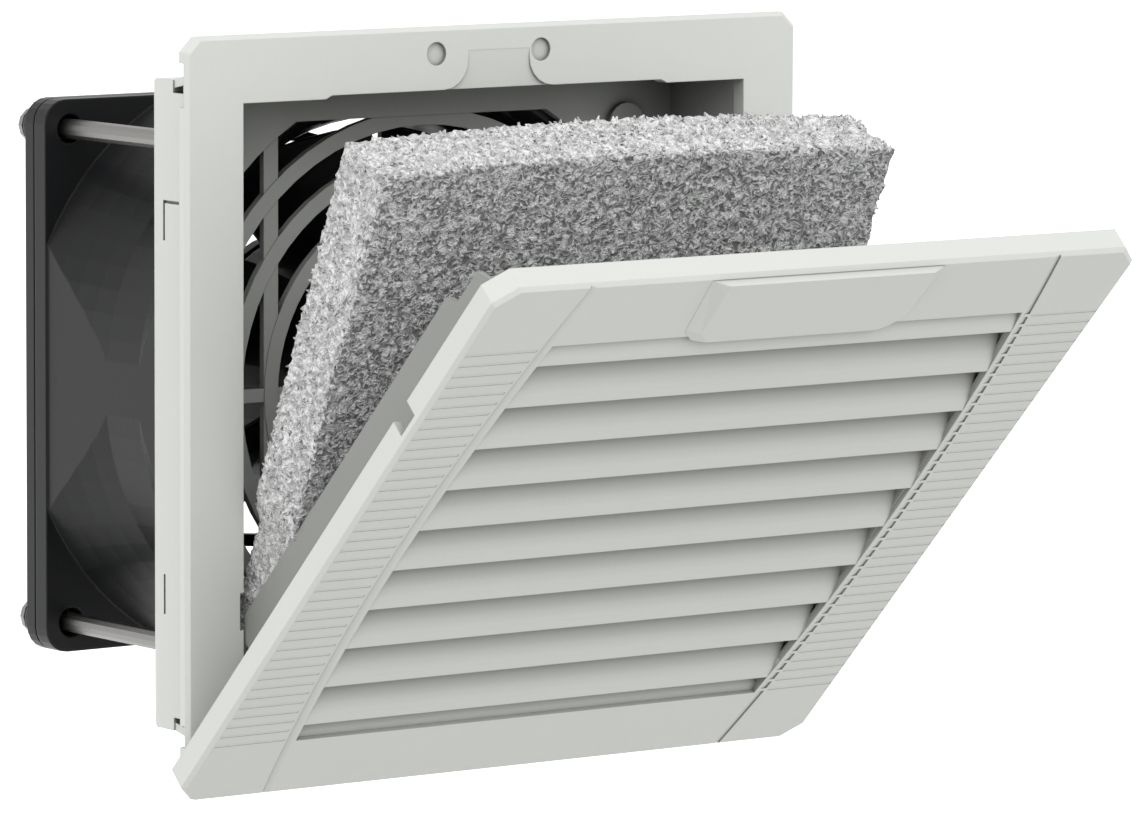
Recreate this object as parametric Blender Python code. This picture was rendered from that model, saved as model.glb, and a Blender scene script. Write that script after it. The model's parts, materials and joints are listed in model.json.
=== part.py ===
"""Cabinet filter fan for a 92 mm square panel cut-out, with its cover swung open.

Frame: origin at the centre of the panel cut-out on the outer panel face, X to the
right, +Y into the cabinet, Z up. All sizes below are millimetres and degrees.
"""

import bpy
import bmesh
from math import asin, cos, pi, radians, sin, sqrt
from mathutils import Vector

MM = 0.001
SEAT = 0.3

# Sizes that the others are set from
FAN_SIZE = 80.0
FAN_DEPTH = 38.0
PANEL_MARGIN = 6.0
PANEL_HOLE = FAN_SIZE + 2 * PANEL_MARGIN

# Ducting of the axial fan
FAN_CORNER = 3.5
FAN_FLANGE = 2.8
FAN_SIDE_RELIEF = 0.3
FAN_SIDE_WALL = 2.4
FAN_BORE_RADIUS = FAN_SIZE / 2 - FAN_SIDE_WALL
FAN_TUBE_WALL = 2.3
FAN_TUBE_RADIUS = FAN_BORE_RADIUS + FAN_TUBE_WALL
FAN_FLARE_SWELL = 4.2
FAN_FLARE_RADIUS = FAN_TUBE_RADIUS + FAN_FLARE_SWELL
FAN_MOUTH_FLARE = 5.7
FAN_MOUTH_RADIUS = FAN_BORE_RADIUS + FAN_MOUTH_FLARE
FAN_MOUTH_LIP = 1.6
FAN_MOUTH_HALF = FAN_SIZE / 2 - FAN_MOUTH_LIP
FAN_MOUTH_DEPTH = 10.4
FAN_REAR_FLARE_LENGTH = 15.4
FAN_FRONT_FLARE_LENGTH = 8.6
FAN_HOLE_INSET = 4.25
FAN_HOLE_RADIUS = 2.15
SPIDER_DISC_THICKNESS = 2.2
SPIDER_GAP = 1.5
SPIDER_STRUT_WIDTH = 3.4
SPIDER_STRUT_DEPTH = 3.6
SPIDER_STRUT_OVERREACH = 1.45
BEARING_TUBE_RADIUS = 5.2
BEARING_TUBE_WALL = 1.0
BEARING_TUBE_FRONT_GAP = 1.9

# Mounting frame: flange, collar, window and finger grille
PANEL_CLEARANCE = 0.4
FLANGE_SIDE_OVERLAP = 6.9
FLANGE_TOP_OVERLAP = 6.5
FLANGE_WIDTH = PANEL_HOLE + 2 * FLANGE_SIDE_OVERLAP
FLANGE_HEIGHT = PANEL_HOLE + 2 * FLANGE_TOP_OVERLAP
FLANGE_THICKNESS = 1.8
FLANGE_CHAMFER = 2.05
FLANGE_BEVEL = 0.6
COLLAR_WALL = 1.4
COLLAR_DEPTH = 18.3
COLLAR_REAR_ROUND = 1.6
COLLAR_HALF = PANEL_HOLE / 2 - PANEL_CLEARANCE
COLLAR_INNER = COLLAR_HALF - COLLAR_WALL
WINDOW_SIDE_LIP = 0.75
WINDOW_TOP_LIP = 1.1
WINDOW_WIDTH = 2 * (COLLAR_INNER - WINDOW_SIDE_LIP)
WINDOW_TOP = COLLAR_INNER - WINDOW_TOP_LIP
WINDOW_STEP_INSET = 14.85
WINDOW_STEP_WIDTH = WINDOW_WIDTH - 2 * WINDOW_STEP_INSET
WINDOW_STEP = 0.5
WINDOW_NOTCH_ABOVE_CORNER = 14.2
WINDOW_NOTCH_HEIGHT = 5.2
WINDOW_NOTCH_DEPTH = WINDOW_SIDE_LIP - 0.15
REAR_WALL = 1.6
GRILLE_RIM_GAP = 0.1
GRILLE_OPENING_HALF = FAN_MOUTH_HALF + GRILLE_RIM_GAP
GRILLE_OPENING_FLARE = 0.95
GRILLE_OPENING_RADIUS = FAN_MOUTH_RADIUS + GRILLE_OPENING_FLARE
GRILLE_RING_PITCH = 6.13
GRILLE_OUTER_RING = FAN_MOUTH_HALF - GRILLE_RIM_GAP
GRILLE_RING_COUNT = 5
GRILLE_RING_WIDTH = 2.3
GRILLE_INSET = 0.2
GRILLE_DISC_RADIUS = 7.7
GRILLE_POST_X = 26.0
GRILLE_POST_WIDTH = 2.45
GRILLE_BAR_HEIGHT = 1.9
SCREW_BOSS_RADIUS = 3.2
SCREW_BOSS_HEIGHT = 0.9
LATCH_HOLE_XS = (-10.8, 7.3)
LATCH_HOLE_FROM_TOP = 3.8
LATCH_HOLE_RADIUS = 1.65
LATCH_HOLE_DEPTH = 0.55
LATCH_DISH_TOP_HALF = 5.3
LATCH_DISH_CORNER = 4.1
LATCH_DISH_BOTTOM_HALF = LATCH_DISH_TOP_HALF + LATCH_DISH_CORNER
LATCH_DISH_FROM_TOP = 3.5
LATCH_DISH_DEPTH = 0.6
PRY_NOTCH_FROM_TOP = 3.6
PRY_NOTCH_LENGTH = 6.1
PRY_NOTCH_FROM_BOTTOM = 6.7
PRY_NOTCH_BOTTOM_LENGTH = 3.0
PRY_NOTCH_WIDTH = 2.4
PRY_NOTCH_DEPTH = 1.1
SNAP_INNER_X = 27.0
SNAP_SIDE_INSET = 0.2
SNAP_OUTER_X = COLLAR_HALF - SNAP_SIDE_INSET
SNAP_GAP = 1.2
SNAP_THICKNESS = 1.3
SNAP_FRONT_Y = 2.4
SNAP_REAR_Y = 12.4
SNAP_RISE = 2.1
COLLAR_SLIT_Y = 14.7
COLLAR_SLIT_WIDTH = 0.4
COLLAR_SLIT_DEPTH = 0.45
COLLAR_SLIT_TOP = 28.7
COLLAR_SLIT_LENGTH = 5.6
COLLAR_SLIT_BOTTOM = -29.4
GASKET_FROM_HOLE = 1.0
GASKET_GROOVE_INNER = PANEL_HOLE / 2 + GASKET_FROM_HOLE
GASKET_GROOVE_WIDTH = 3.4
GASKET_GROOVE_DEPTH = 0.9
GASKET_BOTTOM_CUT = 1.6

# Cover and the hinge line that the filter mat shares
COVER_OVERHANG = 1.6
COVER_SIZE = FLANGE_WIDTH + 2 * COVER_OVERHANG
COVER_DEPTH = 3.8
COVER_RIM_GAP = 0.15
COVER_DROP = 1.1
COVER_LOW = -FLANGE_HEIGHT / 2 - COVER_DROP
COVER_CHAMFER = 3.0
COVER_EDGE_BEVEL = 0.55
COVER_WALL = 1.2
COVER_FACE = 1.1
COVER_LIP = 0.8
COVER_OPEN_ANGLE = 44.85
COVER_LIMIT_ANGLE = 48.85
HINGE_FROM_PANEL = 2.5
HINGE_FROM_BOTTOM = 2.65
HINGE_PIN_RADIUS = 0.6
HINGE_SOCKET_RADIUS = 0.8
HINGE_KNUCKLE_RADIUS = 1.2
HINGE_EAR_FROM_SIDE = 4.7
HINGE_EAR_X = FLANGE_WIDTH / 2 - HINGE_EAR_FROM_SIDE
HINGE_EAR_WIDTH = 1.5
HINGE_PIN_LENGTH = 1.6
HINGE_RELIEF_RISE = 0.8
HINGE_CLEARANCE = 0.3
LOUVRE_COUNT = 10
LOUVRE_FIELD_LOW = 12.3
LOUVRE_FIELD_HIGH = WINDOW_TOP - COVER_LOW
LOUVRE_BOTTOM_SHOWN = 3.5
LOUVRE_TOP_SHOWN = 4.13
LOUVRE_FIRST_EDGE = LOUVRE_FIELD_LOW + LOUVRE_BOTTOM_SHOWN
LOUVRE_PITCH = (LOUVRE_FIELD_HIGH - LOUVRE_TOP_SHOWN - LOUVRE_FIRST_EDGE) / (LOUVRE_COUNT - 1)
LOUVRE_OVERLAP = 0.77
LOUVRE_RISE = LOUVRE_PITCH + LOUVRE_OVERLAP
LOUVRE_SIDE_INSET = 3.4
LOUVRE_HALF_WIDTH = WINDOW_WIDTH / 2 - LOUVRE_SIDE_INSET
LOUVRE_SIDE_BULGE = 2.4
LOUVRE_THICKNESS = 1.0
LOUVRE_CURVES = 5
SKIRT_GAP = 0.3
SKIRT_WALL = 1.0
SKIRT_LOW = 16.0
SKIRT_STEP_FROM_TOP = 8.8
SKIRT_TOP = LOUVRE_FIELD_HIGH
SKIRT_STEP = SKIRT_TOP - SKIRT_STEP_FROM_TOP
SKIRT_DEPTH = 13.8
SKIRT_UPPER_DEPTH = 11.7
SKIRT_TIP = 2.6
SIDE_NOTCH_FROM_TOP = 26.6
SIDE_NOTCH_HEIGHT = 4.3
SIDE_NOTCH_DEPTH = 2.5
BADGE_TOP_HALF = 17.4
BADGE_BOTTOM_HALF = 16.4
BADGE_OVERHANG = 0.8
BADGE_RAISE_TOP = 1.2
BADGE_RAISE_BOTTOM = 0.6
BADGE_SLOPE = 2.4

# Filter mat, leaning out of the collar with the cover
MAT_THICKNESS = 11.0
MAT_TOP_GAP = 1.45
MAT_SIDE_GAP = 0.3
MAT_FRONT = 0.2
MAT_BOTTOM_GAP = 0.35
MAT_LEAN_RATIO = 0.524
MAT_EDGE_ROUND = 1.0

# Motor and impeller
HUB_RADIUS = 20.0
HUB_WALL = 1.1
HUB_REAR_SPACE = 11.8
HUB_FROM_FAN_FRONT = 2.2
HUB_LENGTH = FAN_DEPTH - HUB_FROM_FAN_FRONT - HUB_REAR_SPACE
BLADE_COUNT = 7
BLADE_TIP_GAP = 0.9
BLADE_THICKNESS = 1.3
BLADE_ROOT_ANGLE = 52.0
BLADE_TIP_ANGLE = 31.0
BLADE_ROOT_CHORD = HUB_LENGTH - 4.0
BLADE_TIP_CHORD = HUB_LENGTH + 1.0
BLADE_CAMBER = 1.6
BLADE_STATIONS = 6
BLADE_CHORD_STEPS = 5
ROTOR_CUP_WALL = 1.2
ROTOR_CUP_REAR_GAP = 0.8
SHAFT_RADIUS = 1.5
SHAFT_END_GAP = 1.0
BEARING_LENGTH = 4.0
CLIP_THICKNESS = 0.7
CLIP_RADIUS = 3.0
CORE_AIR_GAP = 0.8
CORE_LENGTH = HUB_LENGTH / 3
WINDING_FROM_TUBE = 1.6
WINDING_FROM_CORE_EDGE = 2.0
WINDING_END_SPACE = 3.4
WINDING_FRONT_SPACE = 3.0
WINDING_LENGTH = (HUB_LENGTH - CORE_LENGTH) / 2 - WINDING_END_SPACE
CORE_FROM_CUP = WINDING_LENGTH + WINDING_FRONT_SPACE

# Rear finger guard, screws and terminals
GUARD_THICKNESS = 2.6
GUARD_CORNER_INSET = 2.3
GUARD_OPENING_RADIUS = FAN_MOUTH_RADIUS - GUARD_CORNER_INSET
GUARD_OPENING_HALF = FAN_MOUTH_HALF - 0.1
GUARD_RING_COUNT = 4
GUARD_RING_PITCH = 6.6
GUARD_RING_WIDTH = 1.8
GUARD_RING_INSET = 4.2
GUARD_OUTER_RING = FAN_BORE_RADIUS - GUARD_RING_INSET
GUARD_DISC_RADIUS = 10.0
GUARD_STRUT_WIDTH = 2.2
SCREW_RADIUS = 1.45
SCREW_ENGAGEMENT = 1.9
SCREW_HEAD_RADIUS = 2.7
SCREW_HEAD_HEIGHT = 2.1
SCREW_RECESS_RADIUS = 0.9
SCREW_RECESS_DEPTH = 1.0
WASHER_RADIUS = 3.3
WASHER_HEIGHT = 2.3
TERMINAL_BLOCK_WIDTH = 12.0
TERMINAL_BLOCK_LENGTH = 9.0
TERMINAL_BLOCK_HEIGHT = 3.4
TERMINAL_TAB_PITCH = 6.0
TERMINAL_TAB_WIDTH = 2.8
TERMINAL_TAB_THICKNESS = 0.5
TERMINAL_TAB_LENGTH = 6.3

# Places that follow from the sizes above
REAR_WALL_FRONT = COLLAR_DEPTH - REAR_WALL
FLANGE_FRONT = -FLANGE_THICKNESS
FLANGE_TOP = FLANGE_HEIGHT / 2
FAN_FRONT = COLLAR_DEPTH + SEAT
FAN_REAR = FAN_FRONT + FAN_DEPTH
FAN_HOLE = FAN_SIZE / 2 - FAN_HOLE_INSET
GUARD_FRONT = FAN_REAR + SEAT
GUARD_REAR = GUARD_FRONT + GUARD_THICKNESS
SCREW_CLEARANCE_RADIUS = SCREW_RADIUS + SEAT
SCREW_CORNERS = [(-FAN_HOLE, FAN_HOLE), (FAN_HOLE, FAN_HOLE), (FAN_HOLE, -FAN_HOLE), (-FAN_HOLE, -FAN_HOLE)]
HINGE_Y = -HINGE_FROM_PANEL
HINGE_Z = -FLANGE_TOP + HINGE_FROM_BOTTOM
COVER_HALF = COVER_SIZE / 2
COVER_RIM_Y = -COVER_RIM_GAP
COVER_FRONT_Y = COVER_RIM_Y - COVER_DEPTH
SKIRT_OUTER_X = WINDOW_WIDTH / 2 - SKIRT_GAP
SKIRT_INNER_X = SKIRT_OUTER_X - SKIRT_WALL
MAT_HALF = SKIRT_INNER_X - MAT_SIDE_GAP
MAT_LOW = -COLLAR_INNER + MAT_BOTTOM_GAP
MAT_HIGH = WINDOW_TOP - MAT_TOP_GAP
HUB_FRONT = FAN_FRONT + HUB_FROM_FAN_FRONT
HUB_REAR = HUB_FRONT + HUB_LENGTH
HUB_INNER = HUB_RADIUS - HUB_WALL
CUP_OUTER = HUB_INNER - SEAT
CUP_INNER = CUP_OUTER - ROTOR_CUP_WALL
CUP_FRONT = HUB_FRONT + HUB_WALL + SEAT
CUP_REAR = HUB_REAR - ROTOR_CUP_REAR_GAP
CORE_RADIUS = CUP_INNER - CORE_AIR_GAP
SPIDER_FRONT = HUB_REAR + SPIDER_GAP
SPIDER_REAR = SPIDER_FRONT + SPIDER_DISC_THICKNESS
TUBE_FRONT = CUP_FRONT + ROTOR_CUP_WALL + BEARING_TUBE_FRONT_GAP
TUBE_INNER = BEARING_TUBE_RADIUS - BEARING_TUBE_WALL


def clear_scene():
    for item in list(bpy.data.objects):
        bpy.data.objects.remove(item, do_unlink=True)


def make_material(name, colour, roughness, metallic=0.0):
    material = bpy.data.materials.new(name)
    material.use_nodes = True
    shader = material.node_tree.nodes["Principled BSDF"]
    shader.inputs["Base Color"].default_value = (*colour, 1.0)
    shader.inputs["Roughness"].default_value = roughness
    shader.inputs["Metallic"].default_value = metallic
    material.diffuse_color = (*colour, 1.0)
    return material


# Outlines and lofts

def along_y(outline, y):
    return [Vector((x, y, z)) for x, z in outline]


def along_x(outline, x):
    return [Vector((x, y, z)) for y, z in outline]


def circle(radius, segments, centre=(0.0, 0.0)):
    step = 2 * pi / segments
    return [
        (centre[0] + radius * cos(step * index), centre[1] + radius * sin(step * index))
        for index in range(segments)
    ]


def clipped_circle(radius, half_width, segments):
    """A circle cut off by a centred square."""
    points = []
    for x, z in circle(1.0, segments):
        reach = min(radius, half_width / max(abs(x), abs(z)))
        points.append((x * reach, z * reach))
    return points


def rectangle(half_width, low, high):
    return [(-half_width, low), (half_width, low), (half_width, high), (-half_width, high)]


def box_outline(x_low, x_high, low, high):
    return [(x_low, low), (x_high, low), (x_high, high), (x_low, high)]


def chamfered(half_width, low, high, chamfer):
    return [
        (-half_width + chamfer, low),
        (half_width - chamfer, low),
        (half_width, low + chamfer),
        (half_width, high - chamfer),
        (half_width - chamfer, high),
        (-half_width + chamfer, high),
        (-half_width, high - chamfer),
        (-half_width, low + chamfer),
    ]


def rounded(half_width, radius, steps=5):
    points = []
    inner = half_width - radius
    for quarter, (sign_x, sign_z) in enumerate([(1, 1), (-1, 1), (-1, -1), (1, -1)]):
        for step in range(steps + 1):
            angle = (quarter + step / steps) * pi / 2
            points.append((sign_x * inner + radius * cos(angle), sign_z * inner + radius * sin(angle)))
    return points


def add_loft(mesh, rings, wrap=False):
    rows = [[mesh.verts.new(point * MM) for point in ring] for ring in rings]
    pairs = list(zip(rows, rows[1:]))
    if wrap:
        pairs.append((rows[-1], rows[0]))
    for near, far in pairs:
        count = len(near)
        for index in range(count):
            after = (index + 1) % count
            mesh.faces.new((near[index], near[after], far[after], far[index]))
    if not wrap:
        mesh.faces.new(rows[0][::-1])
        mesh.faces.new(rows[-1])


def add_turned(mesh, profile, segments, centre=(0.0, 0.0), hollow=False):
    """Turn a list of (radius, y) points about a line along Y through centre (x, z)."""
    rings = [along_y(circle(radius, segments, centre), y) for radius, y in profile]
    add_loft(mesh, rings, wrap=hollow)


def tube_profile(inner, outer, y_low, y_high):
    return [(outer, y_low), (outer, y_high), (inner, y_high), (inner, y_low)]


def finish_object(name, mesh, material=None, smooth_angle=None, origin=(0.0, 0.0, 0.0), turn_x=0.0):
    bmesh.ops.recalc_face_normals(mesh, faces=mesh.faces)
    bmesh.ops.translate(mesh, verts=mesh.verts, vec=-Vector(origin) * MM)
    data = bpy.data.meshes.new(name)
    mesh.to_mesh(data)
    mesh.free()
    if smooth_angle is not None:
        data.shade_smooth()
        data.set_sharp_from_angle(angle=radians(smooth_angle))
    if material is not None:
        data.materials.append(material)
    item = bpy.data.objects.new(name, data)
    item.location = Vector(origin) * MM
    item.rotation_euler = (radians(turn_x), 0.0, 0.0)
    bpy.context.scene.collection.objects.link(item)
    return item


def apply_tool(item, operation, name, tool_mesh, origin=(0.0, 0.0, 0.0)):
    """Add a Boolean to an object, with its tool kept in the scene as a wire guide."""
    tool = finish_object("tool_" + name, tool_mesh, origin=origin)
    tool.location = item.location
    tool.rotation_euler = item.rotation_euler
    tool.hide_render = True
    tool.display_type = "WIRE"
    modifier = item.modifiers.new(name, "BOOLEAN")
    modifier.operation = operation
    modifier.object = tool
    modifier.solver = "EXACT"


# Mounting frame

def flange_mesh():
    mesh = bmesh.new()
    half_height = FLANGE_HEIGHT / 2
    full = chamfered(FLANGE_WIDTH / 2, -half_height, half_height, FLANGE_CHAMFER)
    inset = chamfered(
        FLANGE_WIDTH / 2 - FLANGE_BEVEL,
        -half_height + FLANGE_BEVEL,
        half_height - FLANGE_BEVEL,
        FLANGE_CHAMFER - FLANGE_BEVEL * 0.4,
    )
    rings = [along_y(full, 0.0), along_y(full, FLANGE_FRONT + FLANGE_BEVEL), along_y(inset, FLANGE_FRONT)]
    add_loft(mesh, rings)
    return mesh


def collar_mesh():
    mesh = bmesh.new()
    full = rectangle(COLLAR_HALF, -COLLAR_HALF, COLLAR_HALF)
    small = COLLAR_HALF - COLLAR_REAR_ROUND
    half_way = COLLAR_HALF - COLLAR_REAR_ROUND * (1 - sqrt(0.5))
    rings = [
        along_y(full, -FLANGE_THICKNESS / 2),
        along_y(full, COLLAR_DEPTH - COLLAR_REAR_ROUND),
        along_y(rectangle(half_way, -half_way, half_way), COLLAR_DEPTH - COLLAR_REAR_ROUND * (1 - sqrt(0.5))),
        along_y(rectangle(small, -small, small), COLLAR_DEPTH),
    ]
    add_loft(mesh, rings)
    return mesh


def window_outline():
    half = WINDOW_WIDTH / 2
    step = WINDOW_STEP_WIDTH / 2
    high = WINDOW_TOP + WINDOW_STEP
    wide = half + WINDOW_NOTCH_DEPTH
    notch_low = -COLLAR_INNER + WINDOW_NOTCH_ABOVE_CORNER
    notch_high = notch_low + WINDOW_NOTCH_HEIGHT
    right = [
        (half, -COLLAR_INNER), (half, notch_low), (wide, notch_low), (wide, notch_high),
        (half, notch_high), (half, WINDOW_TOP), (step + 1.0, WINDOW_TOP), (step, high),
    ]
    return right + [(-x, z) for x, z in reversed(right)]


def window_mesh():
    mesh = bmesh.new()
    front = FLANGE_FRONT - 1.0
    add_loft(mesh, [along_y(window_outline(), front), along_y(window_outline(), FLANGE_BEVEL + 0.2)])
    return mesh


def cavity_mesh():
    mesh = bmesh.new()
    inner = rectangle(COLLAR_INNER, -COLLAR_INNER, COLLAR_INNER)
    add_loft(mesh, [along_y(inner, FLANGE_BEVEL), along_y(inner, REAR_WALL_FRONT)])
    return mesh


def grille_opening_outline():
    """A circle cut off by a square: four flat sides joined by four arcs."""
    half = GRILLE_OPENING_HALF
    start = asin(sqrt(GRILLE_OPENING_RADIUS ** 2 - half ** 2) / GRILLE_OPENING_RADIUS)
    steps = 6
    points = []
    for quarter in range(4):
        for step in range(steps + 1):
            angle = quarter * pi / 2 + start + (pi / 2 - 2 * start) * step / steps
            points.append((GRILLE_OPENING_RADIUS * cos(angle), GRILLE_OPENING_RADIUS * sin(angle)))
    return points


def grille_opening_mesh():
    mesh = bmesh.new()
    outline = grille_opening_outline()
    add_loft(mesh, [along_y(outline, REAR_WALL_FRONT - 1.0), along_y(outline, COLLAR_DEPTH + 1.0)])
    return mesh


def grille_rings_mesh():
    mesh = bmesh.new()
    front = REAR_WALL_FRONT + GRILLE_INSET
    rear = COLLAR_DEPTH - GRILLE_INSET
    for index in range(GRILLE_RING_COUNT):
        middle = GRILLE_OUTER_RING - index * GRILLE_RING_PITCH
        inner = middle - GRILLE_RING_WIDTH / 2
        outer = middle + GRILLE_RING_WIDTH / 2
        segments = 60 if index < 3 else 32
        add_turned(mesh, tube_profile(inner, outer, front, rear), segments, hollow=True)
    add_turned(mesh, [(GRILLE_DISC_RADIUS, front), (GRILLE_DISC_RADIUS, rear)], 24)
    return mesh


def grille_posts_mesh():
    mesh = bmesh.new()
    reach = GRILLE_OPENING_HALF + 1.5
    bar = GRILLE_BAR_HEIGHT / 2
    near = GRILLE_POST_X - GRILLE_POST_WIDTH / 2
    far = GRILLE_POST_X + GRILLE_POST_WIDTH / 2
    outline = [
        (-reach, -bar), (-far, -bar), (-far, -reach), (-near, -reach), (-near, -bar), (near, -bar),
        (near, -reach), (far, -reach), (far, -bar), (reach, -bar), (reach, bar), (far, bar),
        (far, reach), (near, reach), (near, bar), (-near, bar), (-near, reach), (-far, reach),
        (-far, bar), (-reach, bar),
    ]
    inset = GRILLE_INSET * 1.5
    add_loft(mesh, [along_y(outline, REAR_WALL_FRONT + inset), along_y(outline, COLLAR_DEPTH - inset)])
    return mesh


def bosses_mesh():
    mesh = bmesh.new()
    for corner in SCREW_CORNERS:
        front = REAR_WALL_FRONT - SCREW_BOSS_HEIGHT
        profile = [(SCREW_BOSS_RADIUS, front), (SCREW_BOSS_RADIUS, COLLAR_DEPTH - 0.5)]
        add_turned(mesh, profile, 20, corner)
    return mesh


def screw_holes_mesh(radius, y_low, y_high):
    mesh = bmesh.new()
    for corner in SCREW_CORNERS:
        add_turned(mesh, [(radius, y_low), (radius, y_high)], 16, corner)
    return mesh


def latch_recess_mesh():
    """Two shallow blind holes, one on each side of the dish."""
    mesh = bmesh.new()
    front = FLANGE_FRONT - 1.0
    for x in LATCH_HOLE_XS:
        hole = [(LATCH_HOLE_RADIUS, front), (LATCH_HOLE_RADIUS, FLANGE_FRONT + LATCH_HOLE_DEPTH)]
        add_turned(mesh, hole, 20, (x, FLANGE_TOP - LATCH_HOLE_FROM_TOP))
    return mesh


def latch_dish_mesh():
    """A dish that deepens towards the window, where a finger reaches under the closed cover."""
    mesh = bmesh.new()
    high = FLANGE_TOP - LATCH_DISH_FROM_TOP
    corner = LATCH_DISH_CORNER
    middle = WINDOW_TOP + WINDOW_STEP + corner
    right = [(LATCH_DISH_TOP_HALF, high), (LATCH_DISH_TOP_HALF, middle)]
    steps = 5
    for step in range(1, steps + 1):
        angle = step / steps * pi / 2
        right.append((LATCH_DISH_BOTTOM_HALF - corner * cos(angle), middle - corner * sin(angle)))
    low = WINDOW_TOP - 1.0
    right.append((LATCH_DISH_BOTTOM_HALF, low))
    outline = right + [(-x, z) for x, z in reversed(right)]
    slope = LATCH_DISH_DEPTH / (high - low)
    floor = [Vector((x, FLANGE_FRONT + 0.02 + (high - z) * slope, z)) for x, z in outline]
    add_loft(mesh, [along_y(outline, FLANGE_FRONT - 1.0), floor])
    return mesh


def flange_notches_mesh():
    mesh = bmesh.new()
    edge = FLANGE_WIDTH / 2
    upper = FLANGE_TOP - PRY_NOTCH_FROM_TOP
    lower = -FLANGE_TOP + PRY_NOTCH_FROM_BOTTOM
    spans = ((upper - PRY_NOTCH_LENGTH, upper), (lower, lower + PRY_NOTCH_BOTTOM_LENGTH))
    for side in (-1, 1):
        for low, high in spans:
            xs = sorted((side * (edge - PRY_NOTCH_WIDTH), side * (edge + 1.0)))
            outline = box_outline(xs[0], xs[1], low, high)
            add_loft(mesh, [along_y(outline, -PRY_NOTCH_DEPTH), along_y(outline, 1.0)])
    return mesh


def lower_edge_mesh():
    """The slanted lower edge of the flange, which the opening cover swings under."""
    mesh = bmesh.new()
    turn = radians(COVER_LIMIT_ANGLE)
    reach = COVER_DEPTH - COVER_LIP - (HINGE_FROM_PANEL - COVER_RIM_GAP) - HINGE_CLEARANCE

    def height_at(y):
        return HINGE_Z - (reach + cos(turn) * (y - HINGE_Y)) / sin(turn)

    front = FLANGE_FRONT - 1.0
    rear = 1.0
    low = -FLANGE_HEIGHT / 2 - 2.0
    outline = [(front, low), (rear, low), (rear, height_at(rear)), (front, height_at(front))]
    half = FLANGE_WIDTH / 2 + 1.0
    add_loft(mesh, [along_x(outline, -half), along_x(outline, half)])
    return mesh


def hinge_pockets_mesh():
    mesh = bmesh.new()
    reach = HINGE_KNUCKLE_RADIUS + HINGE_CLEARANCE
    rear = HINGE_Y + reach
    outline = [
        (FLANGE_FRONT - 1.0, HINGE_Z - reach - 2.0),
        (rear, HINGE_Z - reach - 2.0),
        (rear, HINGE_Z + reach),
        (FLANGE_FRONT - 1.0, HINGE_Z + reach),
    ]
    start = HINGE_EAR_X + HINGE_EAR_WIDTH + 0.1
    for side in (-1, 1):
        add_loft(mesh, [along_x(outline, side * start), along_x(outline, side * (FLANGE_WIDTH / 2 + 1.0))])
    return mesh


def hinge_ears_mesh():
    """Two ears on the flange, each with a pin that points outwards."""
    mesh = bmesh.new()
    steps = 8
    nose = []
    for step in range(steps + 1):
        angle = pi / 2 + pi * step / steps
        nose.append((HINGE_Y + HINGE_PIN_RADIUS * cos(angle), HINGE_Z + HINGE_PIN_RADIUS * sin(angle)))
    root = FLANGE_FRONT + 0.5
    ear = [(root, HINGE_Z - HINGE_PIN_RADIUS)] + nose[::-1] + [(root, HINGE_Z + HINGE_PIN_RADIUS)]
    for side in (-1, 1):
        start = side * HINGE_EAR_X
        end = side * (HINGE_EAR_X + HINGE_EAR_WIDTH)
        add_loft(mesh, [along_x(ear, start), along_x(ear, end)])
    return mesh


def hinge_pins_mesh():
    mesh = bmesh.new()
    pin = [(HINGE_Y + y, HINGE_Z + z) for y, z in circle(HINGE_PIN_RADIUS - 0.02, 16)]
    for side in (-1, 1):
        start = side * (HINGE_EAR_X + HINGE_EAR_WIDTH / 2)
        end = side * (HINGE_EAR_X + HINGE_EAR_WIDTH + HINGE_PIN_LENGTH)
        add_loft(mesh, [along_x(pin, start), along_x(pin, end)])
    return mesh


def snap_slots_mesh():
    """Slots in the upper and lower collar walls that free the four sprung arms."""
    mesh = bmesh.new()
    inner = COLLAR_INNER - 0.4
    outer = COLLAR_HALF + 1.0
    for side in (-1, 1):
        for level in (-1, 1):
            xs = sorted((side * (SNAP_INNER_X - SNAP_GAP), side * (SNAP_OUTER_X + SNAP_GAP)))
            zs = sorted((level * inner, level * outer))
            outline = box_outline(xs[0], xs[1], zs[0], zs[1])
            add_loft(mesh, [along_y(outline, SNAP_GAP * 0.25), along_y(outline, SNAP_REAR_Y)])
    return mesh


def snap_arms_mesh():
    """Sprung arms rooted at the rear that rise behind the panel's edge."""
    mesh = bmesh.new()
    inner = COLLAR_INNER
    outer = inner + SNAP_THICKNESS
    crest = outer + SNAP_RISE
    ridge = SNAP_FRONT_Y + 1.2
    root = SNAP_REAR_Y + 0.8
    for level in (-1, 1):
        arm = [
            (root, level * (inner + 0.1)), (root, level * (outer - 0.1)), (ridge, level * crest),
            (SNAP_FRONT_Y, level * (crest - 0.9)), (SNAP_FRONT_Y, level * (crest - SNAP_THICKNESS - 0.6)),
            (ridge, level * (crest - SNAP_THICKNESS)),
        ]
        for side in (-1, 1):
            add_loft(mesh, [along_x(arm, side * SNAP_INNER_X), along_x(arm, side * SNAP_OUTER_X)])
    return mesh


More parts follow.
